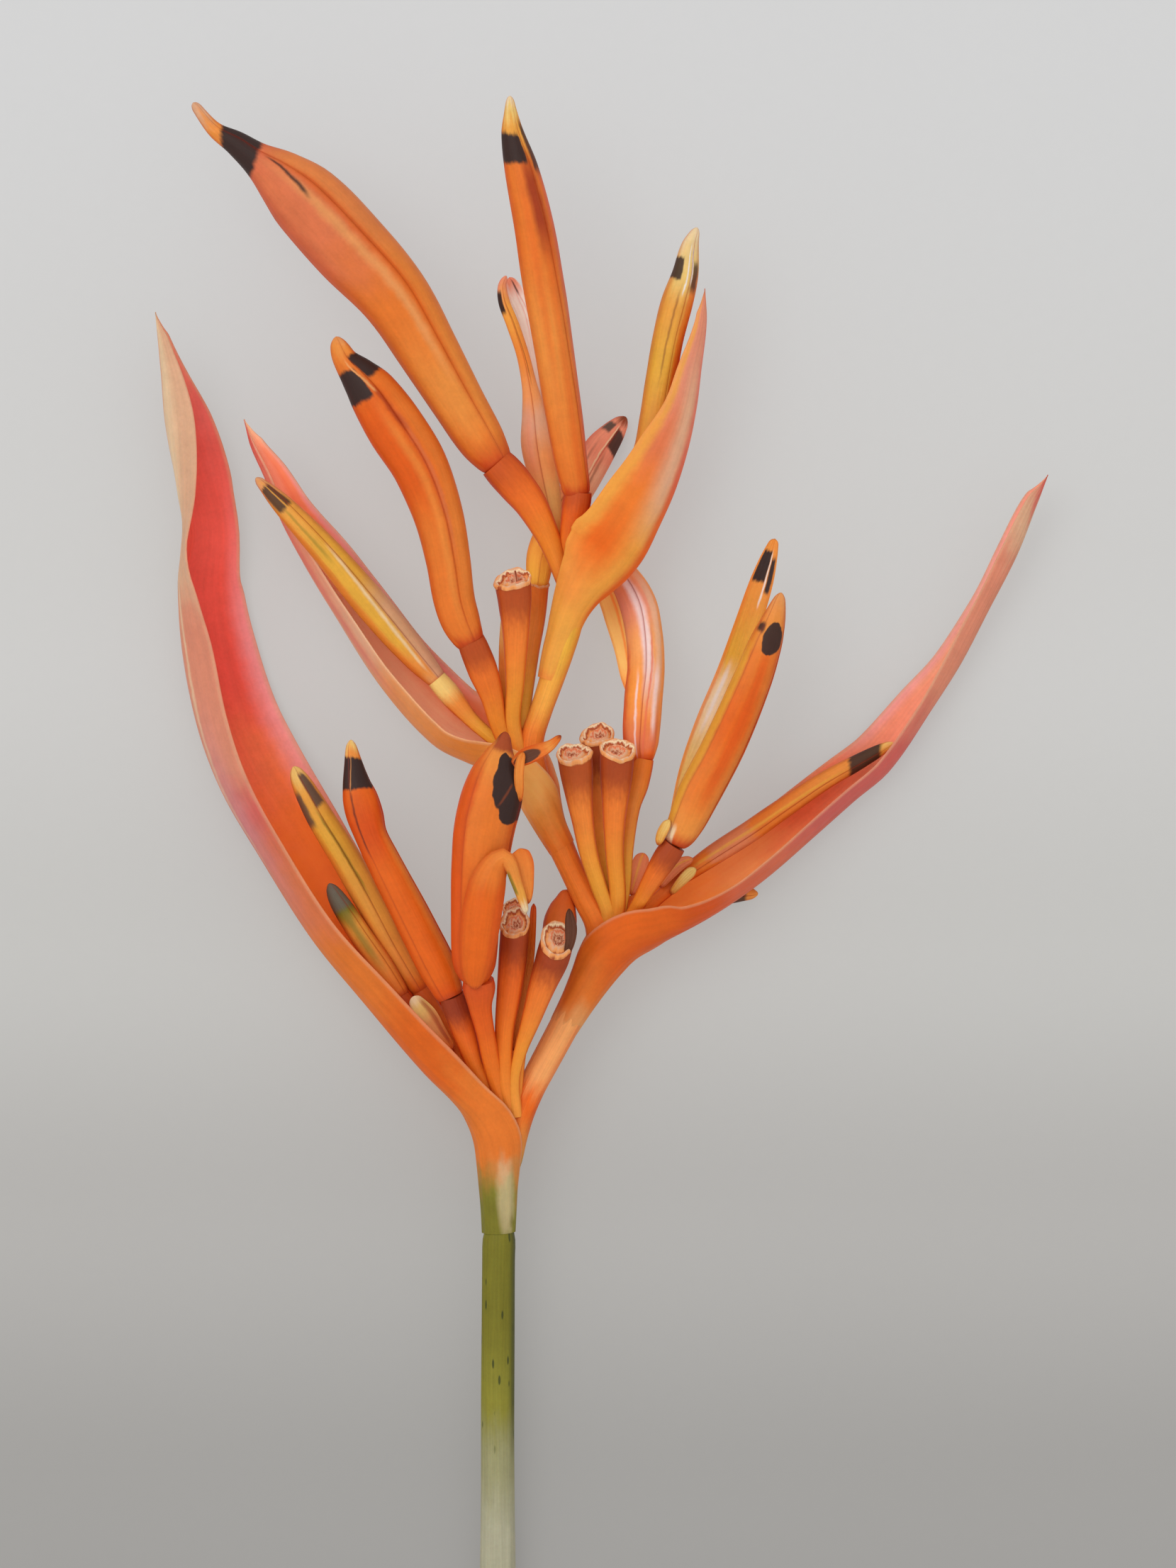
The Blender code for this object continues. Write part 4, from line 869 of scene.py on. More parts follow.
def stalk_paint(name):
    """Old flower stalks: two oranges, scorched tops and pale torn scars."""
    paint = Paint(name)
    coarse = paint.flow_noise(1.6, 0.3)
    ragged = paint.flow_noise(5.0, 1.2, 3.0)
    streaks = paint.flow_noise(7.0, 0.2, 4.0)
    along = paint.add(paint.field("along"), paint.centred(ragged, 0.10))
    light = paint.ramp(along, ((0.0, HONEY), (0.3, GOLD), (0.7, AMBER), (1.0, TANGERINE)))
    deep = paint.ramp(along, ((0.0, TANGERINE), (0.4, FLAME), (0.8, EMBER), (1.0, BRICK)))
    colour = paint.mix(paint.field("hue"), light, deep)
    # Painted shade: the stalks' flanks, as seen from above, darken towards the edges.
    edge = paint.step(paint.math("ABSOLUTE", paint.field("side")), 0.7, 1.02)
    colour = paint.mix(paint.times(edge, 0.5), colour, EMBER, "MULTIPLY")
    top = paint.step(along, 0.70, 0.90)
    scorched = paint.times(top, paint.field("burn"))
    colour = paint.mix(scorched, colour, CLAY)
    colour = paint.mix(paint.times(scorched, -1.0), colour, STRAW)
    scar = paint.field("scar")
    torn = paint.flow_noise(2.3, 1.0, 3.0)
    rings = paint.ramp(paint.add(scar, paint.centred(torn, 0.44)), (
        (0.0, CLAY), (0.12, APRICOT), (0.2, PEACH), (0.25, CREAM), (0.32, SIENNA),
        (0.42, APRICOT), (0.54, PEACH), (0.62, SALMON), (0.7, PEACH), (0.78, SIENNA),
        (0.86, PEACH), (0.94, SIENNA), (1.0, UMBER)))
    colour = paint.mix(paint.step(scar, 0.02, 0.10), colour, rings)
    finish_surface(paint, colour, Finish(streak=0.3, gain=1.14), streaks, coarse)
    return paint.material


DRY = Finish(edge=0.4, streak=0.5, grain=0.16, rough=0.62, bump=0.8, glow=0.05, gain=1.4)
SOFT = Finish(edge=0.2, streak=0.2, bump=0.35, gain=1.25)
GLASSY = Finish(edge=0.0, streak=0.15, grain=0.08, bump=0.3, glow=0.0, gain=1.3)
PALE = Finish(edge=0.2, edge_colour=AMBER, streak=0.3, gain=1.05)
# Brightening that is painted light, for leaves that lie in shade.
LIT = Finish(gain=1.13)

# Withered scraps among the stalks in the right leaf's mouth.
SCRAP_BEHIND = [
    (2.9, -4.6, 7.0, 0.35), (3.5, -2.6, 7.6, 0.75), (3.9, -1.2, 7.8, 0.85), (4.2, -0.3, 7.8, 0.5)]
SCRAP_RIGHT = [
    (5.8, -3.8, 6.9, 0.35), (7.0, -2.1, 7.4, 0.7), (8.1, -1.3, 7.4, 0.6), (9.2, -0.9, 7.2, 0.3)]
SCRAP_YELLOW = [
    (6.9, -4.5, 6.9, 0.3), (8.0, -3.2, 7.5, 0.5), (8.9, -2.3, 7.6, 0.55), (9.5, -1.9, 7.5, 0.3)]
SCRAP_JOINT = [
    (5.6, 0.5, 12.6, 0.3), (5.9, 1.5, 12.9, 0.5), (6.4, 2.5, 13.1, 0.5), (6.8, 3.1, 13.1, 0.25)]

# Flowers and buds: seam angles at foot and tip, colours from foot to tip and marks. Heel is the
# share of the width at the foot and the length over which it widens. Extra lists loose blades,
# each with the part of the piece's colours that it takes.
FLOWERS = {
    "flower_upper_left": dict(
        rows=FLOWER_UPPER_LEFT, seam=(60, 62), slot="petal_orange",
        finish=Finish(seam=0.4),
        ramp=((0, BRICK), (0.04, TANGERINE), (0.16, AMBER), (0.4, TANGERINE), (0.6, SALMON),
              (0.78, SALMON), (0.85, CORAL), (0.92, AMBER), (1, PEACH)),
        marks=(Mark(AMBER, (-0.1, 0.95), (0.80, 0.95), 0.5, 0.05, 0.1, 0.5),
               # Painted shade along the seam, then a painted highlight to its left.
               Mark(FLAME, (0.1, 0.50), (0.78, 0.42), 0.10, 0.1, 0.14, 0.5),
               Mark(APRICOT, (0.25, 0.22), (0.74, 0.10), 0.12, 0.1, 0.14, 0.8),
               band(BRICK, -0.1, 0.04, 0.03, 0.6),
               band(SCORCH, 0.82, 0.91, 0.008, slant=-0.012),
               Mark(SCORCH, (0.69, 0.10), (0.80, 0.36), 0.05, 0.015, 0.05, 0.9))),
    "flower_top": dict(
        rows=FLOWER_TOP, seam=(28, 62), slot="petal_orange",
        finish=Finish(seam=0.45),
        ramp=((0, BRICK), (0.04, TANGERINE), (0.4, AMBER), (0.65, TANGERINE), (0.82, TANGERINE),
              (0.92, HONEY), (0.96, STRAW), (1, CREAM)),
        marks=(Mark(EMBER, (-0.1, 0.45), (0.66, 0.5), 0.22, 0.1, 0.2, 0.45),
               Mark(FLAME, (0.3, -0.15), (0.80, -0.2), 0.16, 0.1, 0.2, 0.5),
               Mark(ROSE, (0.05, 1.0), (0.8, 1.0), 0.14, 0.1, 0.12, 0.5),
               Mark(MAROON, (0.62, 0.40), (0.84, 0.3), 0.3, 0.07, 0.2, 0.85),
               Mark(SCORCH, (0.83, -0.4), (0.905, -0.4), 0.85, 0.008, 0.06, slant=0.01),
               Mark(SCORCH, (0.80, 0.95), (0.93, 0.9), 0.22, 0.02, 0.08, 0.9))),
    "flower_yellow": dict(
        rows=FLOWER_YELLOW, seam=(60, 62), slot="petal_yellow",
        ramp=((0, AMBER), (0.25, HONEY), (0.5, GOLD), (0.7, HONEY), (0.84, STRAW), (1, CREAM)),
        marks=(Mark(FLAME, (-0.1, 0.95), (0.84, 0.95), 0.38, 0.03, 0.08, 0.7),
               Mark(BARK, (0.45, -0.1), (0.76, -0.02), 0.05, 0.06, 0.08, 0.6),
               Mark(SCORCH, (0.80, -0.75), (0.885, -0.8), 0.5, 0.008, 0.06, 0.95),
               Mark(SCORCH, (0.77, 0.72), (0.87, 0.72), 0.2, 0.02, 0.1, 0.85),
               Mark(WHITE, (0.76, 0.2), (0.93, 0.15), 0.05, 0.02, 0.05),
               Mark(WHITE, (0.80, 0.5), (0.92, 0.42), 0.04, 0.02, 0.05))),
    "flower_withered": dict(
        rows=FLOWER_WITHERED, seam=(85, 75), ridges=0.03, slot="petal_rust", finish=DRY,
        ramp=((0, GOLD), (0.25, HONEY), (0.4, APRICOT), (0.62, PEACH), (0.76, BLUSH),
              (0.94, BLUSH), (1, BARK)),
        marks=(Mark(SCORCH, (0.82, 0.65), (0.94, 0.55), 0.42, 0.012, 0.1, 0.95, slant=0.03),
               Mark(CHAR, (0.88, -0.6), (0.94, -0.6), 0.35, 0.012, 0.1),
               Mark(CREAM, (0.6, 0.1), (0.94, 0.1), 0.05, 0.03, 0.05),
               Mark(BARK, (0.35, 0.5), (0.75, 0.35), 0.06, 0.06, 0.08, 0.6),
               Mark(BARK, (0.4, -0.45), (0.8, -0.4), 0.05, 0.06, 0.08, 0.5))),
    "flower_slender": dict(
        rows=FLOWER_SLENDER, seam=(100, 80), slot="petal_cream", finish=SOFT,
        ramp=((0, GOLD), (0.12, STRAW), (0.3, APRICOT), (0.45, PEACH), (0.55, APRICOT),
              (0.7, AMBER), (0.86, HONEY), (1, BLUSH)),
        marks=(Mark(SCORCH, (0.86, -0.7), (0.94, -0.7), 0.45, 0.012, 0.1),
               Mark(BARK, (0.6, 0.3), (0.9, 0.2), 0.07, 0.05, 0.08, 0.6),
               Mark(BLUSH, (0.25, -0.5), (0.5, -0.5), 0.3, 0.1, 0.3, 0.6))),
    "flower_left": dict(
        rows=FLOWER_LEFT, seam=(72, 78), slot="petal_orange", finish=Finish(seam=0.42),
        ramp=((0, BRICK), (0.05, TANGERINE), (0.3, TANGERINE), (0.55, FLAME), (0.75, FLAME),
              (0.9, TANGERINE), (0.96, AMBER), (1, APRICOT)),
        # Painted shade down the left flank, then painted light along the middle.
        marks=(Mark(EMBER, (0.45, -0.5), (0.78, -0.5), 0.45, 0.08, 0.3, 0.55),
               Mark(AMBER, (0.1, 0.05), (0.72, -0.1), 0.14, 0.1, 0.15, 0.55),
               Mark(AMBER, (0.1, 0.8), (0.8, 0.7), 0.3, 0.1, 0.2, 0.4),
               Mark(SALMON, (0.3, 0.35), (0.7, 0.3), 0.06, 0.1, 0.1, 0.6),
               Mark(MAROON, (0.66, 0.26), (0.82, 0.14), 0.07, 0.03, 0.1, 0.6),
               Mark(SCORCH, (0.79, -0.6), (0.895, -0.5), 0.55, 0.008, 0.05, slant=0.01),
               Mark(SCORCH, (0.84, 0.7), (0.93, 0.7), 0.48, 0.008, 0.06),
               Mark(APRICOT, (0.8, 0.12), (0.92, -0.1), 0.05, 0.01, 0.04))),
    "flower_right": dict(
        rows=FLOWER_RIGHT, seam=(128, 120), slot="petal_orange", heel=(0.55, 1.4),
        ramp=((0, BRICK), (0.07, AMBER), (0.25, TANGERINE), (0.5, FLAME), (0.75, TANGERINE),
              (0.88, AMBER), (1, APRICOT)),
        marks=(Mark(GOLD, (0.05, -0.85), (0.8, -0.85), 0.22, 0.08, 0.12, 0.75),
               # Painted shade in a stripe right of the middle.
               Mark(EMBER, (0.2, 0.35), (0.78, 0.3), 0.22, 0.1, 0.15, 0.7),
               Mark(AMBER, (0.1, 0.85), (0.7, 0.85), 0.12, 0.1, 0.12, 0.5),
               Mark(CREAM, (-0.05, -0.8), (0.06, -0.8), 0.45, 0.02, 0.08, 0.9),
               Spot(SCORCH, (0.83, 0.32), (0.062, 0.62), 0.12, 0.98),
               Mark(SCORCH, (0.84, -0.62), (0.875, -0.66), 0.24, 0.01, 0.1, 0.95))),
    "flower_arched": dict(
        rows=FLOWER_ARCHED, seam=(95, 80), ridges=0.035, slot="petal_salmon", finish=SOFT,
        ramp=((0, FLAME), (0.06, SALMON), (0.3, AMBER), (0.5, APRICOT), (0.7, BLUSH), (1, AMBER)),
        marks=(Mark(PEACH, (0.25, 0.75), (0.8, 0.72), 0.16, 0.1, 0.1, 0.8),
               Mark(AMBER, (0.0, 1.0), (1.0, 1.0), 0.12, 0.1, 0.08, 0.8),
               # Pale lilac streaks that are painted highlights on the arched flower.
               Mark(MIST, (0.3, 0.2), (0.95, -0.15), 0.26, 0.15, 0.16, 0.95),
               Mark(MIST, (0.12, 0.62), (0.4, 0.6), 0.1, 0.06, 0.1, 0.8),
               Mark(MIST, (0.02, -0.35), (0.35, -0.4), 0.04, 0.06, 0.06, 0.8),
               Mark(CORAL, (0.0, 0.1), (0.55, 0.4), 0.05, 0.05, 0.06, 0.8),
               Mark(BRICK, (0.0, -1.0), (0.5, -1.0), 0.12, 0.05, 0.1, 0.8))),
    "flower_lower_left": dict(
        rows=FLOWER_LOWER_LEFT, seam=(122, 118), slot="petal_orange",
        ramp=((0, EMBER), (0.1, FLAME), (0.5, FLAME), (0.68, EMBER), (0.82, FLAME),
              (0.93, AMBER), (0.98, STRAW), (1, CREAM)),
        marks=(Mark(AMBER, (0.0, 0.8), (0.65, 0.85), 0.18, 0.1, 0.15, 0.6),
               Mark(BRICK, (0.58, 0.0), (0.8, 0.0), 0.5, 0.08, 0.3, 0.5),
               Mark(SCORCH, (0.6, -0.55), (0.82, -0.45), 0.05, 0.04, 0.06, 0.75),
               band(SCORCH, 0.82, 0.935, 0.007, slant=0.008),
               Mark(APRICOT, (0.82, -0.45), (0.94, -0.2), 0.035, 0.008, 0.03, 0.7))),
    "flower_open": dict(
        rows=FLOWER_OPEN, seam=(123, 128), slot="petal_orange", heel=(0.05, 2.4),
        ramp=((0, FLAME), (0.06, EMBER), (0.35, FLAME), (0.6, TANGERINE), (0.75, TANGERINE),
              (0.92, AMBER), (1, BARK)),
        marks=(Mark(EMBER, (0.15, -0.95), (0.85, -0.8), 0.32, 0.1, 0.1, 0.85),
               Mark(EMBER, (0.1, 0.75), (0.5, 0.75), 0.25, 0.08, 0.12, 0.7),
               Spot(SCORCH, (0.805, 0.50), (0.105, 0.54), 0.1),
               Spot(SCORCH, (0.735, 0.70), (0.085, 0.40), 0.1),
               Spot(SCORCH, (0.87, 0.36), (0.050, 0.36), 0.1),
               Mark(BARK, (0.72, 0.32), (0.80, 0.62), 0.035, 0.01, 0.03, 0.8),
               Mark(SIENNA, (0.925, 0.2), (1.05, 0.2), 0.9, 0.012, 0.2, 0.95))),
    "bud_right": dict(
        rows=BUD_RIGHT, seam=(70, 70), slot="petal_orange",
        extra=((SCRAP_BEHIND, (0.2, 0.3)), (SCRAP_RIGHT, (0.2, 0.3)), (SCRAP_YELLOW, (0.956, 0.99)),
               (SCRAP_JOINT, (0.956, 0.98))),
        ramp=((0, FLAME), (0.12, TANGERINE), (0.17, BLUSH), (0.3, BLUSH), (0.36, TANGERINE),
              (0.8, AMBER), (0.94, HONEY), (1, STRAW)),
        marks=(band(TANGERINE, 0.1, 0.4, 0.02, 0.5),
               Mark(GOLD, (0.05, -0.2), (0.75, 0.1), 0.12, 0.1, 0.15, 0.6),
               band(SCORCH, 0.80, 0.94, 0.012, 0.95, slant=0.015))),
    "bud_left": dict(
        rows=BUD_LEFT, seam=(75, 60), slot="petal_yellow",
        ramp=((0, APRICOT), (0.08, AMBER), (0.25, GOLD), (0.6, GOLD), (0.82, HONEY),
              (0.95, APRICOT), (1, PEACH)),
        # Painted highlight running along the bud.
        marks=(Mark(CREAM, (0.08, -0.1), (0.62, 0.3), 0.09, 0.05, 0.1, 0.75),
               Mark(PEACH, (-0.1, 0.5), (0.42, 0.75), 0.42, 0.10, 0.12, 0.85),
               Mark(TANGERINE, (0.05, -0.8), (0.8, -0.85), 0.2, 0.1, 0.15, 0.7),
               Mark(OLIVE, (0.6, -0.2), (0.85, -0.2), 0.1, 0.05, 0.12, 0.5),
               Mark(SCORCH, (0.84, 0.0), (0.95, -0.1), 0.75, 0.01, 0.12, 0.9),
               Mark(HONEY, (0.8, 0.2), (0.97, 0.1), 0.08, 0.01, 0.06, 0.8))),
    "bud_nub": dict(
        rows=BUD_NUB, seam=(70, 70), slot="petal_rust", heel=(0.3, 0.6),
        ramp=((0, BRICK), (0.5, FLAME), (0.8, AMBER), (1, AMBER)),
        marks=(band(SCORCH, 0.62, 0.84, 0.03, 0.9),)),
    "bud_yellow": dict(
        rows=BUD_YELLOW, seam=(88, 80), slot="petal_yellow",
        ramp=((0, FLAME), (0.12, AMBER), (0.4, HONEY), (0.7, GOLD), (0.9, HONEY), (1, STRAW)),
        marks=(Mark(OLIVE, (0.45, 0.15), (0.8, 0.05), 0.09, 0.06, 0.1, 0.75),
               Mark(TANGERINE, (0.0, -0.8), (0.7, -0.85), 0.2, 0.1, 0.2, 0.6),
               Mark(CHAR, (0.82, 0.5), (0.965, 0.35), 0.36, 0.012, 0.1, 0.95),
               Mark(CHAR, (0.76, -0.8), (0.9, -0.85), 0.28, 0.02, 0.12, 0.9))),
    "bud_small": dict(
        rows=BUD_SMALL, seam=(60, 60), slot="petal_rust",
        ramp=((0, TANGERINE), (0.3, AMBER), (0.6, HONEY), (0.78, OLIVE), (1, CHAR)),
        marks=(Mark(OLIVE, (0.3, -0.1), (0.8, -0.1), 0.3, 0.15, 0.25, 0.65),
               band(tone(104, 98, 84), 0.78, 1.05, 0.03, 0.95))),
}

# Dark dead flap beside the largest scar of the lower stalks.
DEAD_FLAP = [
    (-3.7, -10.6, 12.5, 0.3), (-3.3, -9.3, 12.9, 0.5), (-3.2, -8.0, 13.0, 0.62),
    (-3.3, -6.9, 13.0, 0.5), (-3.4, -5.9, 12.9, 0.2)]

# The inner lobe that hangs over the black spot of the opened flower.
LOBE = [
    (-8.35, 4.9, 16.4, 0.22), (-8.4, 6.1, 16.9, 0.44), (-8.45, 7.6, 17.2, 0.5),
    (-8.3, 9.0, 17.2, 0.46), (-8.0, 9.9, 17.1, 0.3)]

BLADES = {
    "sepal_slender": dict(
        rows=SEPAL_SLENDER, slot="petal_cream", finish=GLASSY, cup=0.3,
        ramp=((0, APRICOT), (0.25, PEACH), (0.45, WHITE), (0.85, WHITE), (1, BLUSH)),
        marks=(Mark(ROSE, (0.7, 0.4), (1.0, 0.2), 0.05, 0.05, 0.06, 0.45),
               Mark(ROSE, (0.65, -0.1), (0.95, 0.0), 0.04, 0.05, 0.06, 0.4),
               Mark(SCORCH, (0.9, 0.2), (0.98, 0.2), 0.12, 0.02, 0.08, 0.8))),
    "sepal_right": dict(
        rows=SEPAL_RIGHT, slot="petal_yellow", finish=PALE, cup=0.3,
        ramp=((0, AMBER), (0.2, STRAW), (0.45, CREAM), (0.62, GOLD), (0.85, AMBER), (1, AMBER)),
        # Painted highlight on the middle of the sepal.
        marks=(Mark(WHITE, (0.36, -0.35), (0.56, -0.3), 0.12, 0.05, 0.12, 0.9),
               Mark(TANGERINE, (0.1, -0.95), (0.9, -0.95), 0.2, 0.1, 0.12, 0.7),
               Mark(SCORCH, (0.855, -0.3), (0.96, -0.3), 0.52, 0.008, 0.06),
               Mark(SCORCH, (0.825, 0.62), (0.94, 0.62), 0.2, 0.012, 0.08),
               Mark(WHITE, (0.78, 0.3), (0.95, 0.3), 0.06, 0.02, 0.06, 0.8))),
    "sepal_arched": dict(
        # Painted light: paler colours and a strong brightening lift the shade this low sepal lies
        # in.
        rows=SEPAL_ARCHED, slot="petal_orange", cup=0.3, finish=Finish(gain=1.6),
        ramp=((0, AMBER), (0.3, STRAW), (1, STRAW)),
        marks=(Mark(AMBER, (0.0, 0.5), (0.9, 0.4), 0.12, 0.1, 0.1, 0.8),)),
    "sepal_tongue": dict(
        rows=SEPAL_TONGUE, slot="petal_orange", cup=0.2, extra=((LOBE, (0.66, 0.80)),),
        ramp=((0, TANGERINE), (0.4, FLAME), (0.62, TANGERINE), (0.74, AMBER), (0.9, TANGERINE),
              (1, SIENNA)),
        marks=(Spot(UMBER, (0.30, 0.05), (0.26, 0.72), 0.2),)),
    "scale_lower": dict(
        rows=SCALE_LOWER, slot="petal_cream", finish=PALE, cup=0.4, wave=0.1,
        ramp=((0, TANGERINE), (0.5, APRICOT), (0.8, STRAW), (1, CREAM)),
        marks=(Mark(MAROON, (0.1, 0.5), (0.9, 0.6), 0.25, 0.1, 0.2, 0.7),)),
    "scale_thin": dict(
        rows=SCALE_THIN, slot="petal_rust", cup=0.3, extra=((DEAD_FLAP, (1.2, 1.3)),),
        ramp=((0, TANGERINE), (0.4, AMBER), (0.8, FLAME), (1, BRICK)),
        marks=(band(UMBER, 1.1, 1.5, 0.008),)),
}

# Leaves: side of the mouth, rim colour, then colours and marks outside and inside.
LEAVES = {
    "bract_lower_left": dict(
        rows=BRACT_LOWER_LEFT, opening=1, slot="bract_pink", rim=PEACH,
        outer=((0, OLIVE), (0.02, LEAF), (0.05, OCHRE), (0.08, TANGERINE), (0.12, TANGERINE),
               (0.18, FLAME), (0.30, TANGERINE), (0.40, SALMON), (0.48, ROSE), (0.54, BLUSH),
               (0.66, BLUSH), (0.76, PEACH), (0.93, PEACH), (1, PEACH)),
        inner=((0, RUST), (0.2, EMBER), (0.28, TANGERINE), (0.42, TANGERINE), (0.52, SALMON),
               (0.66, CRIMSON), (0.8, CRIMSON), (0.9, ROSE), (1, BLUSH)),
        outer_marks=(Spot(OLIVE, (0.0, -0.22), (0.062, 0.42), 0.8, 0.85),
                     # Painted highlight on the right of the leaf's foot.
                     Spot(CREAM, (0.034, -0.68), (0.036, 0.17), 0.9, 0.46),
                     Mark(CREAM, (0.44, -0.45), (0.8, -0.5), 0.03, 0.05, 0.05, 0.6),
                     Mark(LILAC, (0.40, -0.6), (0.56, -0.6), 0.15, 0.08, 0.2, 0.6),
                     Mark(CREAM, (0.80, -0.3), (1.02, -0.3), 0.28, 0.03, 0.2, 0.6),
                     Mark(BLUSH, (0.80, 0.1), (0.98, 0.0), 0.10, 0.04, 0.1, 0.7)),
        inner_marks=(Mark(LILAC, (0.4, 1.0), (0.75, 1.0), 0.16, 0.1, 0.14, 0.75),
                     Mark(SALMON, (0.26, -0.72), (0.70, -0.55), 0.34, 0.08, 0.12, 0.75),
                     Mark(CRIMSON, (0.5, 0.2), (0.9, 0.3), 0.25, 0.1, 0.25, 0.6),
                     Mark(CORAL, (0.2, -0.35), (0.6, -0.30), 0.03, 0.1, 0.03, 0.6))),
    "bract_right": dict(
        rows=BRACT_RIGHT, opening=-1, slot="bract_pink", rim=PEACH,
        outer=((0, APRICOT), (0.05, TANGERINE), (0.12, FLAME), (0.24, EMBER), (0.36, CORAL),
               (0.46, ROSE), (0.58, ROSE), (0.7, BLUSH), (0.86, BLUSH), (0.94, PEACH), (1, ROSE)),
        inner=((0, TANGERINE), (0.1, AMBER), (0.22, AMBER), (0.34, APRICOT), (0.45, SALMON),
               (0.6, BLUSH), (0.8, PEACH), (1, BLUSH)),
        outer_marks=(Mark(BRICK, (0.1, 0.3), (0.5, 0.4), 0.15, 0.1, 0.15, 0.5),),
        inner_marks=(Mark(LILAC, (0.55, -1.0), (0.95, -1.0), 0.16, 0.1, 0.14, 0.7),
                     Mark(ROSE, (0.5, 0.2), (0.95, 0.2), 0.1, 0.1, 0.12, 0.5))),
    "bract_left": dict(
        rows=BRACT_LEFT, opening=1, slot="bract_salmon", rim=PEACH, finish=LIT,
        # The foot of the outside takes painted light.
        outer=((0, TANGERINE), (0.04, AMBER), (0.1, PAINTED_LIGHT_HONEY), (0.22, AMBER), (0.4, APRICOT),
               (0.55, PEACH), (0.8, BLUSH), (1, ROSE)),
        inner=((0, AMBER), (0.12, APRICOT), (0.24, PEACH), (0.6, PEACH), (0.78, BLUSH),
               (0.9, BLUSH), (1, PEACH)),
        outer_marks=(Mark(ROSE, (0.45, -0.7), (0.95, -0.6), 0.1, 0.1, 0.12, 0.6),),
        inner_marks=(Mark(LILAC, (0.25, -0.45), (0.8, -0.5), 0.12, 0.08, 0.14, 0.8),
                     Mark(SALMON, (0.1, 0.75), (0.95, 0.75), 0.2, 0.1, 0.15, 0.6),
                     Mark(LILAC, (0.3, 1.0), (0.9, 1.0), 0.08, 0.1, 0.08, 0.9),
                     Mark(MAROON, (0.60, -0.62), (0.67, -0.55), 0.06, 0.012, 0.05))),
    "bract_upper_right": dict(
        rows=BRACT_UPPER_RIGHT, opening=-1, slot="bract_salmon", rim=HONEY, finish=LIT,
        outer=((0, AMBER), (0.04, HONEY), (0.12, HONEY), (0.2, AMBER), (0.3, FLAME),
               (0.5, TANGERINE), (0.62, SALMON), (0.8, BLUSH), (1, BLUSH)),
        inner=((0, FLAME), (0.3, FLAME), (0.6, SALMON), (1, BLUSH)),
        # Painted highlights along the middle of the outside.
        outer_marks=(Mark(HONEY, (0.14, 0.32), (0.5, 0.28), 0.18, 0.08, 0.2, 0.85),
                     Mark(PEACH, (0.44, 0.30), (0.80, 0.42), 0.16, 0.1, 0.2, 0.9),
                     Mark(EMBER, (0.14, 0.06), (0.6, 0.06), 0.1, 0.08, 0.1, 0.8),
                     Mark(ROSE, (0.5, 0.08), (0.95, 0.06), 0.1, 0.08, 0.1, 0.5),
                     Mark(HONEY, (0.28, 0.96), (0.98, 0.9), 0.08, 0.1, 0.08, 0.8))),
}

# Stalks of each group: redness, scorching (paler if negative), how far the cut faces up, and
# whether it ends in a scar. Tip is the height of the dead point in the scar, or for a plain top
# the length over which it narrows.
Old = namedtuple("Old", "hue burn lean scar tip", defaults=(0.35, True, 0.0))
STALK_GROUPS = {
    "stalks_top": (STALKS_TOP, "petal_orange", (
        Old(0.7, 0.35, 0, False), Old(0.8, 0.4, 0, False), Old(0.5, 0.3, 0, False),
        Old(0.1, 0.1, 0, False))),
    "stalks_left": (STALKS_LEFT, "petal_yellow", (
        Old(0.6, 0.65, 0, False), Old(0.45, 0.7, 0.3, True, 1.0), Old(0.0, 0.0, 0.2),
        Old(0.0, -1.0, 0, False), Old(0.0, -0.6, 0, False, 3.0))),
    "stalks_right": (STALKS_RIGHT, "petal_orange", (
        Old(0.3, 0.7, 0.45), Old(0.0, 0.9, 0.5), Old(0.45, 0.8, 0.35), Old(0.0, 0.0, 0, False),
        Old(0.6, 0.8, 0, False), Old(0.6, 0.4, 0, False))),
    "stalks_lower": (STALKS_LOWER, "petal_orange", (
        Old(0.8, 1.0, 0, False), Old(0.6, 0.3, 0, False), Old(0.7, 0.5, 0, False),
        Old(0.9, 0.1, 0, False), Old(0.8, 0.8, 0.9), Old(0.8, 0.7, 0.6), Old(0.5, 0.9, 0.9),
        Old(0.5, 0.2, 0, False, 1.4))),
}

# Stem colours from foot to tip; the apricot stretch from 0.50 to 0.55 is a painted highlight.
STEM_LOWER = ((0.0, BONE), (0.06, BONE), (0.13, SAGE), (0.19, LEAF), (0.27, OLIVE), (0.36, OLIVE),
              (0.39, LEAF), (0.43, AMBER), (0.47, FLAME), (0.50, APRICOT), (0.55, APRICOT),
              (0.60, AMBER), (0.66, TANGERINE), (0.72, TANGERINE), (0.80, AMBER),
              (0.84, TANGERINE))
STEM_UPPER = ((0.84, TANGERINE), (0.88, HONEY), (0.94, GOLD), (1.0, TANGERINE))


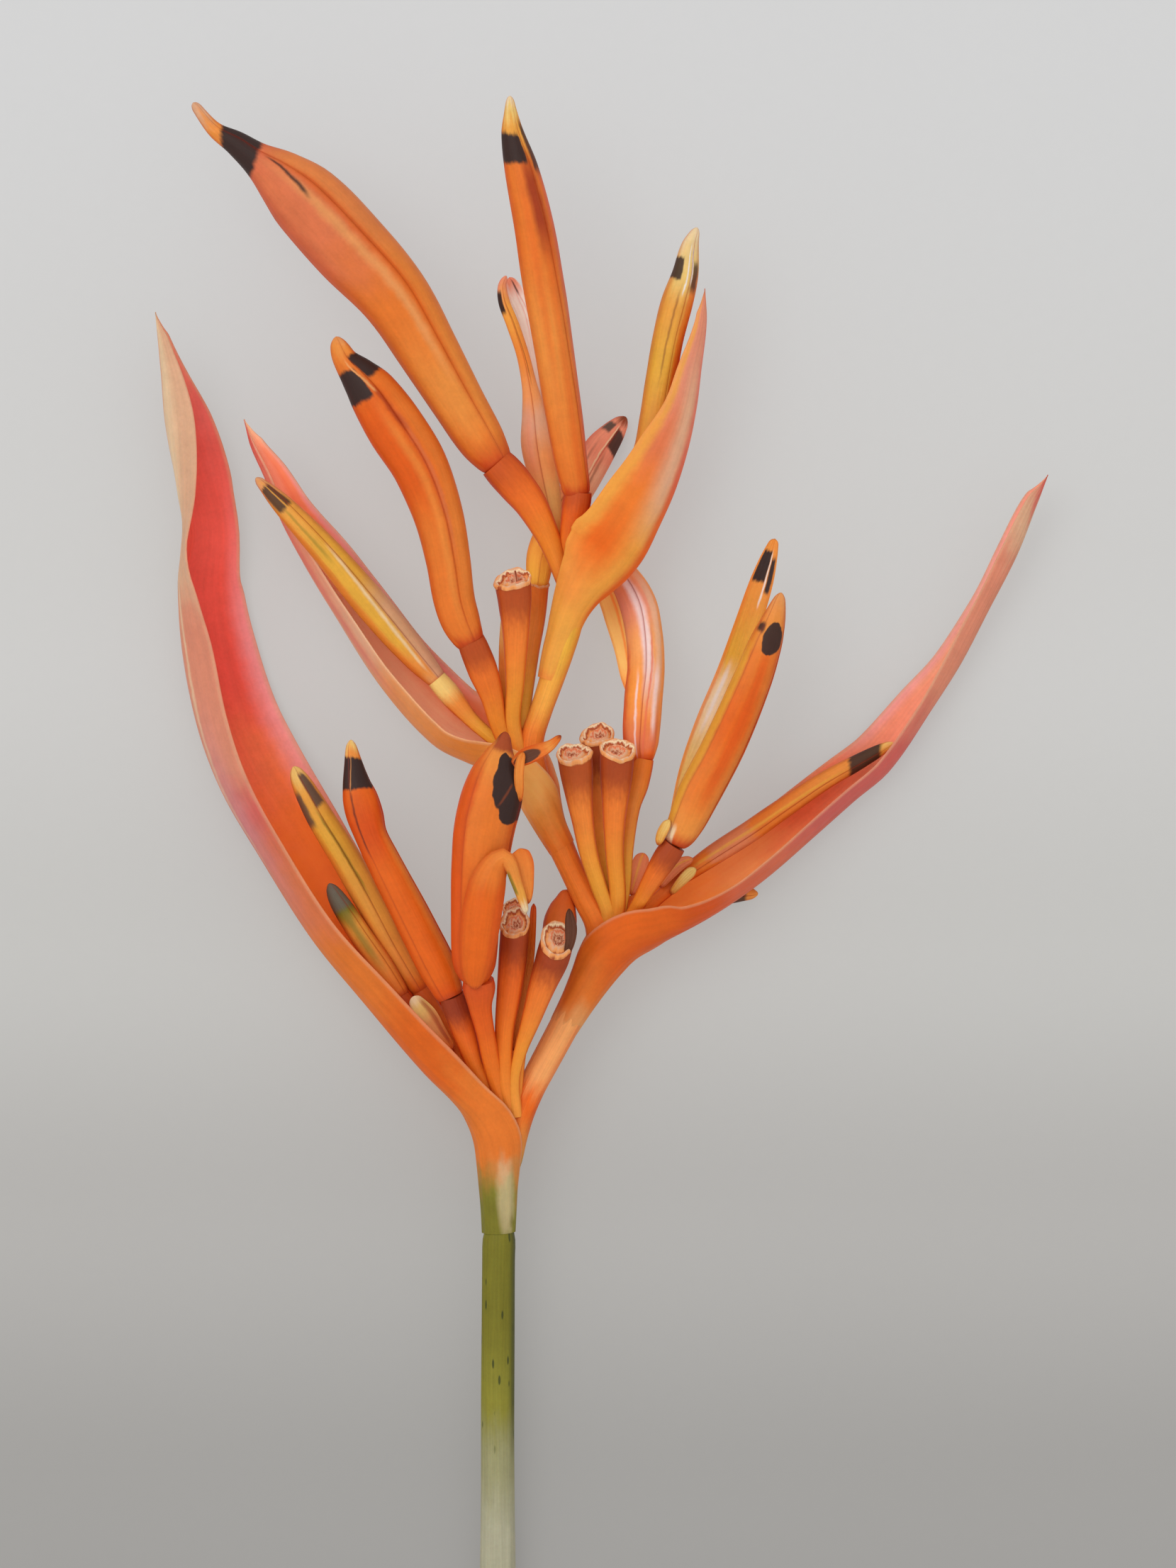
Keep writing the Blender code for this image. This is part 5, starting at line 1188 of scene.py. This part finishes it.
def stem_paint():
    """Green stalk with dark flecks that turns orange where the leaves begin, with painted shade on
    its right side and painted light on its upper part.
    """
    paint = Paint("stem")
    side = paint.field("side")
    coarse = paint.flow_noise(1.6, 0.2)
    ragged = paint.flow_noise(5.0, 0.5, 3.0)
    streaks = paint.flow_noise(9.0, 0.14, 4.0)
    along = paint.add(paint.field("along"), paint.centred(ragged, 0.02))
    colour = paint.ramp(paint.add(along, paint.centred(coarse, 0.03)), STEM_LOWER)
    upper = paint.ramp(along, STEM_UPPER)
    colour = paint.mix(paint.step(along, 0.79, 0.81), colour, upper)
    green = paint.times(paint.step(along, 0.41, 0.37), paint.step(along, 0.10, 0.20))
    # Painted shade down the right side of the green part.
    dark = paint.times(green, paint.step(side, 0.55, 1.0))
    colour = paint.mix(paint.times(dark, 0.75), colour, MOSS)
    flecks = paint.node("ShaderNodeTexVoronoi", voronoi_dimensions="3D")
    paint.feed(flecks.inputs["Vector"], paint.flow(2.2, 0.33))
    flecks.inputs["Scale"].default_value = 1.0
    spots = paint.times(green, paint.step(flecks.outputs["Distance"], 0.2, 0.12))
    colour = paint.mix(paint.times(spots, 0.85), colour, MOSS)
    shadow = paint.times(paint.step(along, 0.42, 0.46), paint.step(side, 0.5, 1.0))
    colour = paint.mix(paint.times(shadow, 0.5), colour, BRICK)
    lit = paint.scaled(paint.step(along, 0.44, 0.50), 0.18, 1.0)
    finish = Finish(streak=0.42, bump=0.6, rough=0.52)
    finish_surface(paint, paint.shifted(colour, lit), finish, streaks, coarse)
    return paint.material


def small_blades(spec):
    """Lobes and scraps that belong to a piece, each with its part of the piece's colours."""
    extra = spec.get("extra", ())
    return [blade_sheet(rows, SCRAP_CUP, span=span, seed=rows[0][0]) for rows, span in extra]


def petal_piece(name, spec, shape):
    """Piece of a flower from its main shape and its loose blades."""
    material = petal_paint(name, spec["ramp"], spec["marks"], spec.get("finish", Finish()))
    build_piece(name, [shape, *small_blades(spec)], material)


def make_flowers():
    for number, (name, spec) in enumerate(FLOWERS.items()):
        petal_piece(name, spec, petal_tube(spec["rows"], spec["seam"], spec.get("ridges", 0.0),
                                           spec.get("heel", HEEL), seed=1.7 * number))


def make_blades():
    for number, (name, spec) in enumerate(BLADES.items()):
        petal_piece(name, spec, blade_sheet(spec["rows"], spec["cup"], wave=spec.get("wave", 0.0),
                                            seed=2.1 * number))


# The free sepal is wide where it lies on its flower and folds over at its top.
CURL = [
    (-12.9, -14.0, 15.5, 0.6), (-12.9, -12.6, 16.3, 1.35), (-12.7, -10.4, 17.2, 1.8),
    (-12.4, -7.8, 17.8, 2.0), (-12.0, -5.2, 18.2, 2.0), (-11.5, -3.0, 18.4, 1.8),
    (-10.8, -1.3, 18.6, 1.25), (-10.0, -0.7, 18.7, 0.95), (-9.3, -1.4, 18.7, 0.75),
    (-8.8, -2.8, 18.6, 0.62), (-8.2, -4.6, 18.4, 0.5), (-7.7, -6.3, 18.2, 0.3)]
LOOP = [
    (-7.5, -5.4, 17.6, 0.2), (-7.5, -4.2, 17.7, 0.5), (-7.8, -2.8, 17.9, 0.9),
    (-8.1, -1.3, 18.0, 1.15), (-8.3, -0.2, 18.0, 0.9), (-8.4, 0.2, 18.0, 0.5)]
CURL_RAMP = ((0, FLAME), (0.45, FLAME), (0.6, TANGERINE), (0.8, AMBER), (0.93, HONEY),
             (1, CREAM))
CURL_MARKS = (Mark(OLIVE, (0.78, 0.9), (0.90, 0.7), 0.35, 0.02, 0.2, 0.85),
              Mark(EMBER, (0.1, 0.75), (0.58, 0.8), 0.22, 0.1, 0.12, 0.6))


def make_curl():
    """The opened flower's free sepal, which arches over and turns down again."""
    sheet = blade_sheet(CURL, -0.42, CURL_THICK)
    loop = blade_sheet(LOOP, 0.3, CURL_THICK, span=(0.76, 0.62))
    material = petal_paint("sepal_curled", CURL_RAMP, CURL_MARKS)
    build_piece("sepal_curled", [sheet, loop], material)


def make_leaves():
    for number, (name, spec) in enumerate(LEAVES.items()):
        shell = boat_shell(spec["rows"], spec["opening"], seed=1.3 * number)
        material = leaf_paint(name, spec["outer"], spec["inner"], spec.get("outer_marks", ()),
                              spec.get("inner_marks", ()), spec["rim"],
                              spec.get("finish", Finish()))
        build_piece(name, [shell], material)


def make_stalks():
    material = stalk_paint("old_stalk")
    for group, (lines, slot, olds) in STALK_GROUPS.items():
        tubes = []
        for number, (rows, old) in enumerate(zip(lines, olds)):
            tubes.append(stalk_tube(rows, *old, seed=1.9 * number))
        build_piece(group, tubes, material)


# Floor colours, with painted shade that darkens the floor towards the foot of the stem.
FLOOR_RAMP = ((0.0, tone(156, 154, 151)), (0.14, tone(163, 161, 158)), (0.3, tone(180, 178, 175)),
              (0.45, tone(196, 195, 192)), (0.62, tone(205, 204, 202)), (1.0, tone(211, 211, 211)))


# Floor in metres, just under the part so that the two never share a plane.
FLOOR_HALF, FLOOR_LEVEL = 3.0, -0.0004
QUARTERS = ((-1, -1), (1, -1), (1, 1), (-1, 1))


def make_floor():
    """Plain pale light table that glows faintly, with painted shade that makes it a little darker
    towards the foot of the stem.
    """
    mesh = bpy.data.meshes.new("floor")
    corners = [(x * FLOOR_HALF, y * FLOOR_HALF, FLOOR_LEVEL) for x, y in QUARTERS]
    mesh.from_pydata(corners, [], [(0, 1, 2, 3)])
    floor = add_object("floor", mesh)
    paint = Paint("floor")
    place = paint.node("ShaderNodeTexCoord").outputs["Object"]
    parts = paint.node("ShaderNodeSeparateXYZ")
    paint.feed(parts.inputs[0], place)
    colour = paint.ramp(paint.scaled(parts.outputs["Y"], 5.5, 0.5), FLOOR_RAMP)
    mottle = paint.scaled(paint.noise(place, FLOOR_SCALE, 3.0), 0.04, 0.98)
    paint.surface("Base Color", paint.shifted(colour, paint.times(mottle, 0.4)))
    paint.surface("Emission Color", colour)
    paint.surface("Emission Strength", FLOOR_GLOW)
    paint.surface("Roughness", 0.9)
    paint.surface("Specular IOR Level", 0.1)
    mesh.materials.append(paint.material)


def add_area(name, place, size, power, colour):
    data = bpy.data.lights.new(name, "AREA")
    data.shape = "DISK"
    data.size = size
    data.energy = power
    data.color = colour
    light = add_object(name, data)
    light.location = place
    target = np.array(LOOK_AT) * MM
    back = unit(np.array(place) - target)
    light.rotation_mode = "QUATERNION"
    light.rotation_quaternion = Vector(back).to_track_quat("Z", "Y")


def make_studio():
    """Soft light from all round, and a broad lamp above and to the upper left."""
    world = bpy.data.worlds.new("studio")
    world.use_nodes = True
    background = world.node_tree.nodes["Background"]
    background.inputs["Color"].default_value = (1.0, 1.0, 1.0, 1.0)
    background.inputs["Strength"].default_value = WORLD_STRENGTH
    bpy.context.scene.world = world
    add_area("key", (-0.35, 0.30, 0.80), 0.7, KEY_POWER, (1.0, 0.99, 0.97))
    bpy.context.scene.view_settings.view_transform = "Standard"


def make_camera():
    """Long lens straight above, with the whole height of the picture in view."""
    data = bpy.data.cameras.new("camera")
    data.lens = LENS
    data.sensor_width = SENSOR
    data.clip_start, data.clip_end = 0.05, 20.0
    camera = add_object("camera", data)
    distance = FRAME_HEIGHT * LENS / SENSOR
    camera.location = (LOOK_AT[0] * MM, LOOK_AT[1] * MM, (LOOK_AT[2] + distance) * MM)
    bpy.context.scene.camera = camera


def main():
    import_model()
    make_floor()
    make_studio()
    make_camera()
    build_piece("stem", [stem_tube(STEM)], stem_paint())
    make_stalks()
    make_leaves()
    make_flowers()
    make_blades()
    make_curl()


main()
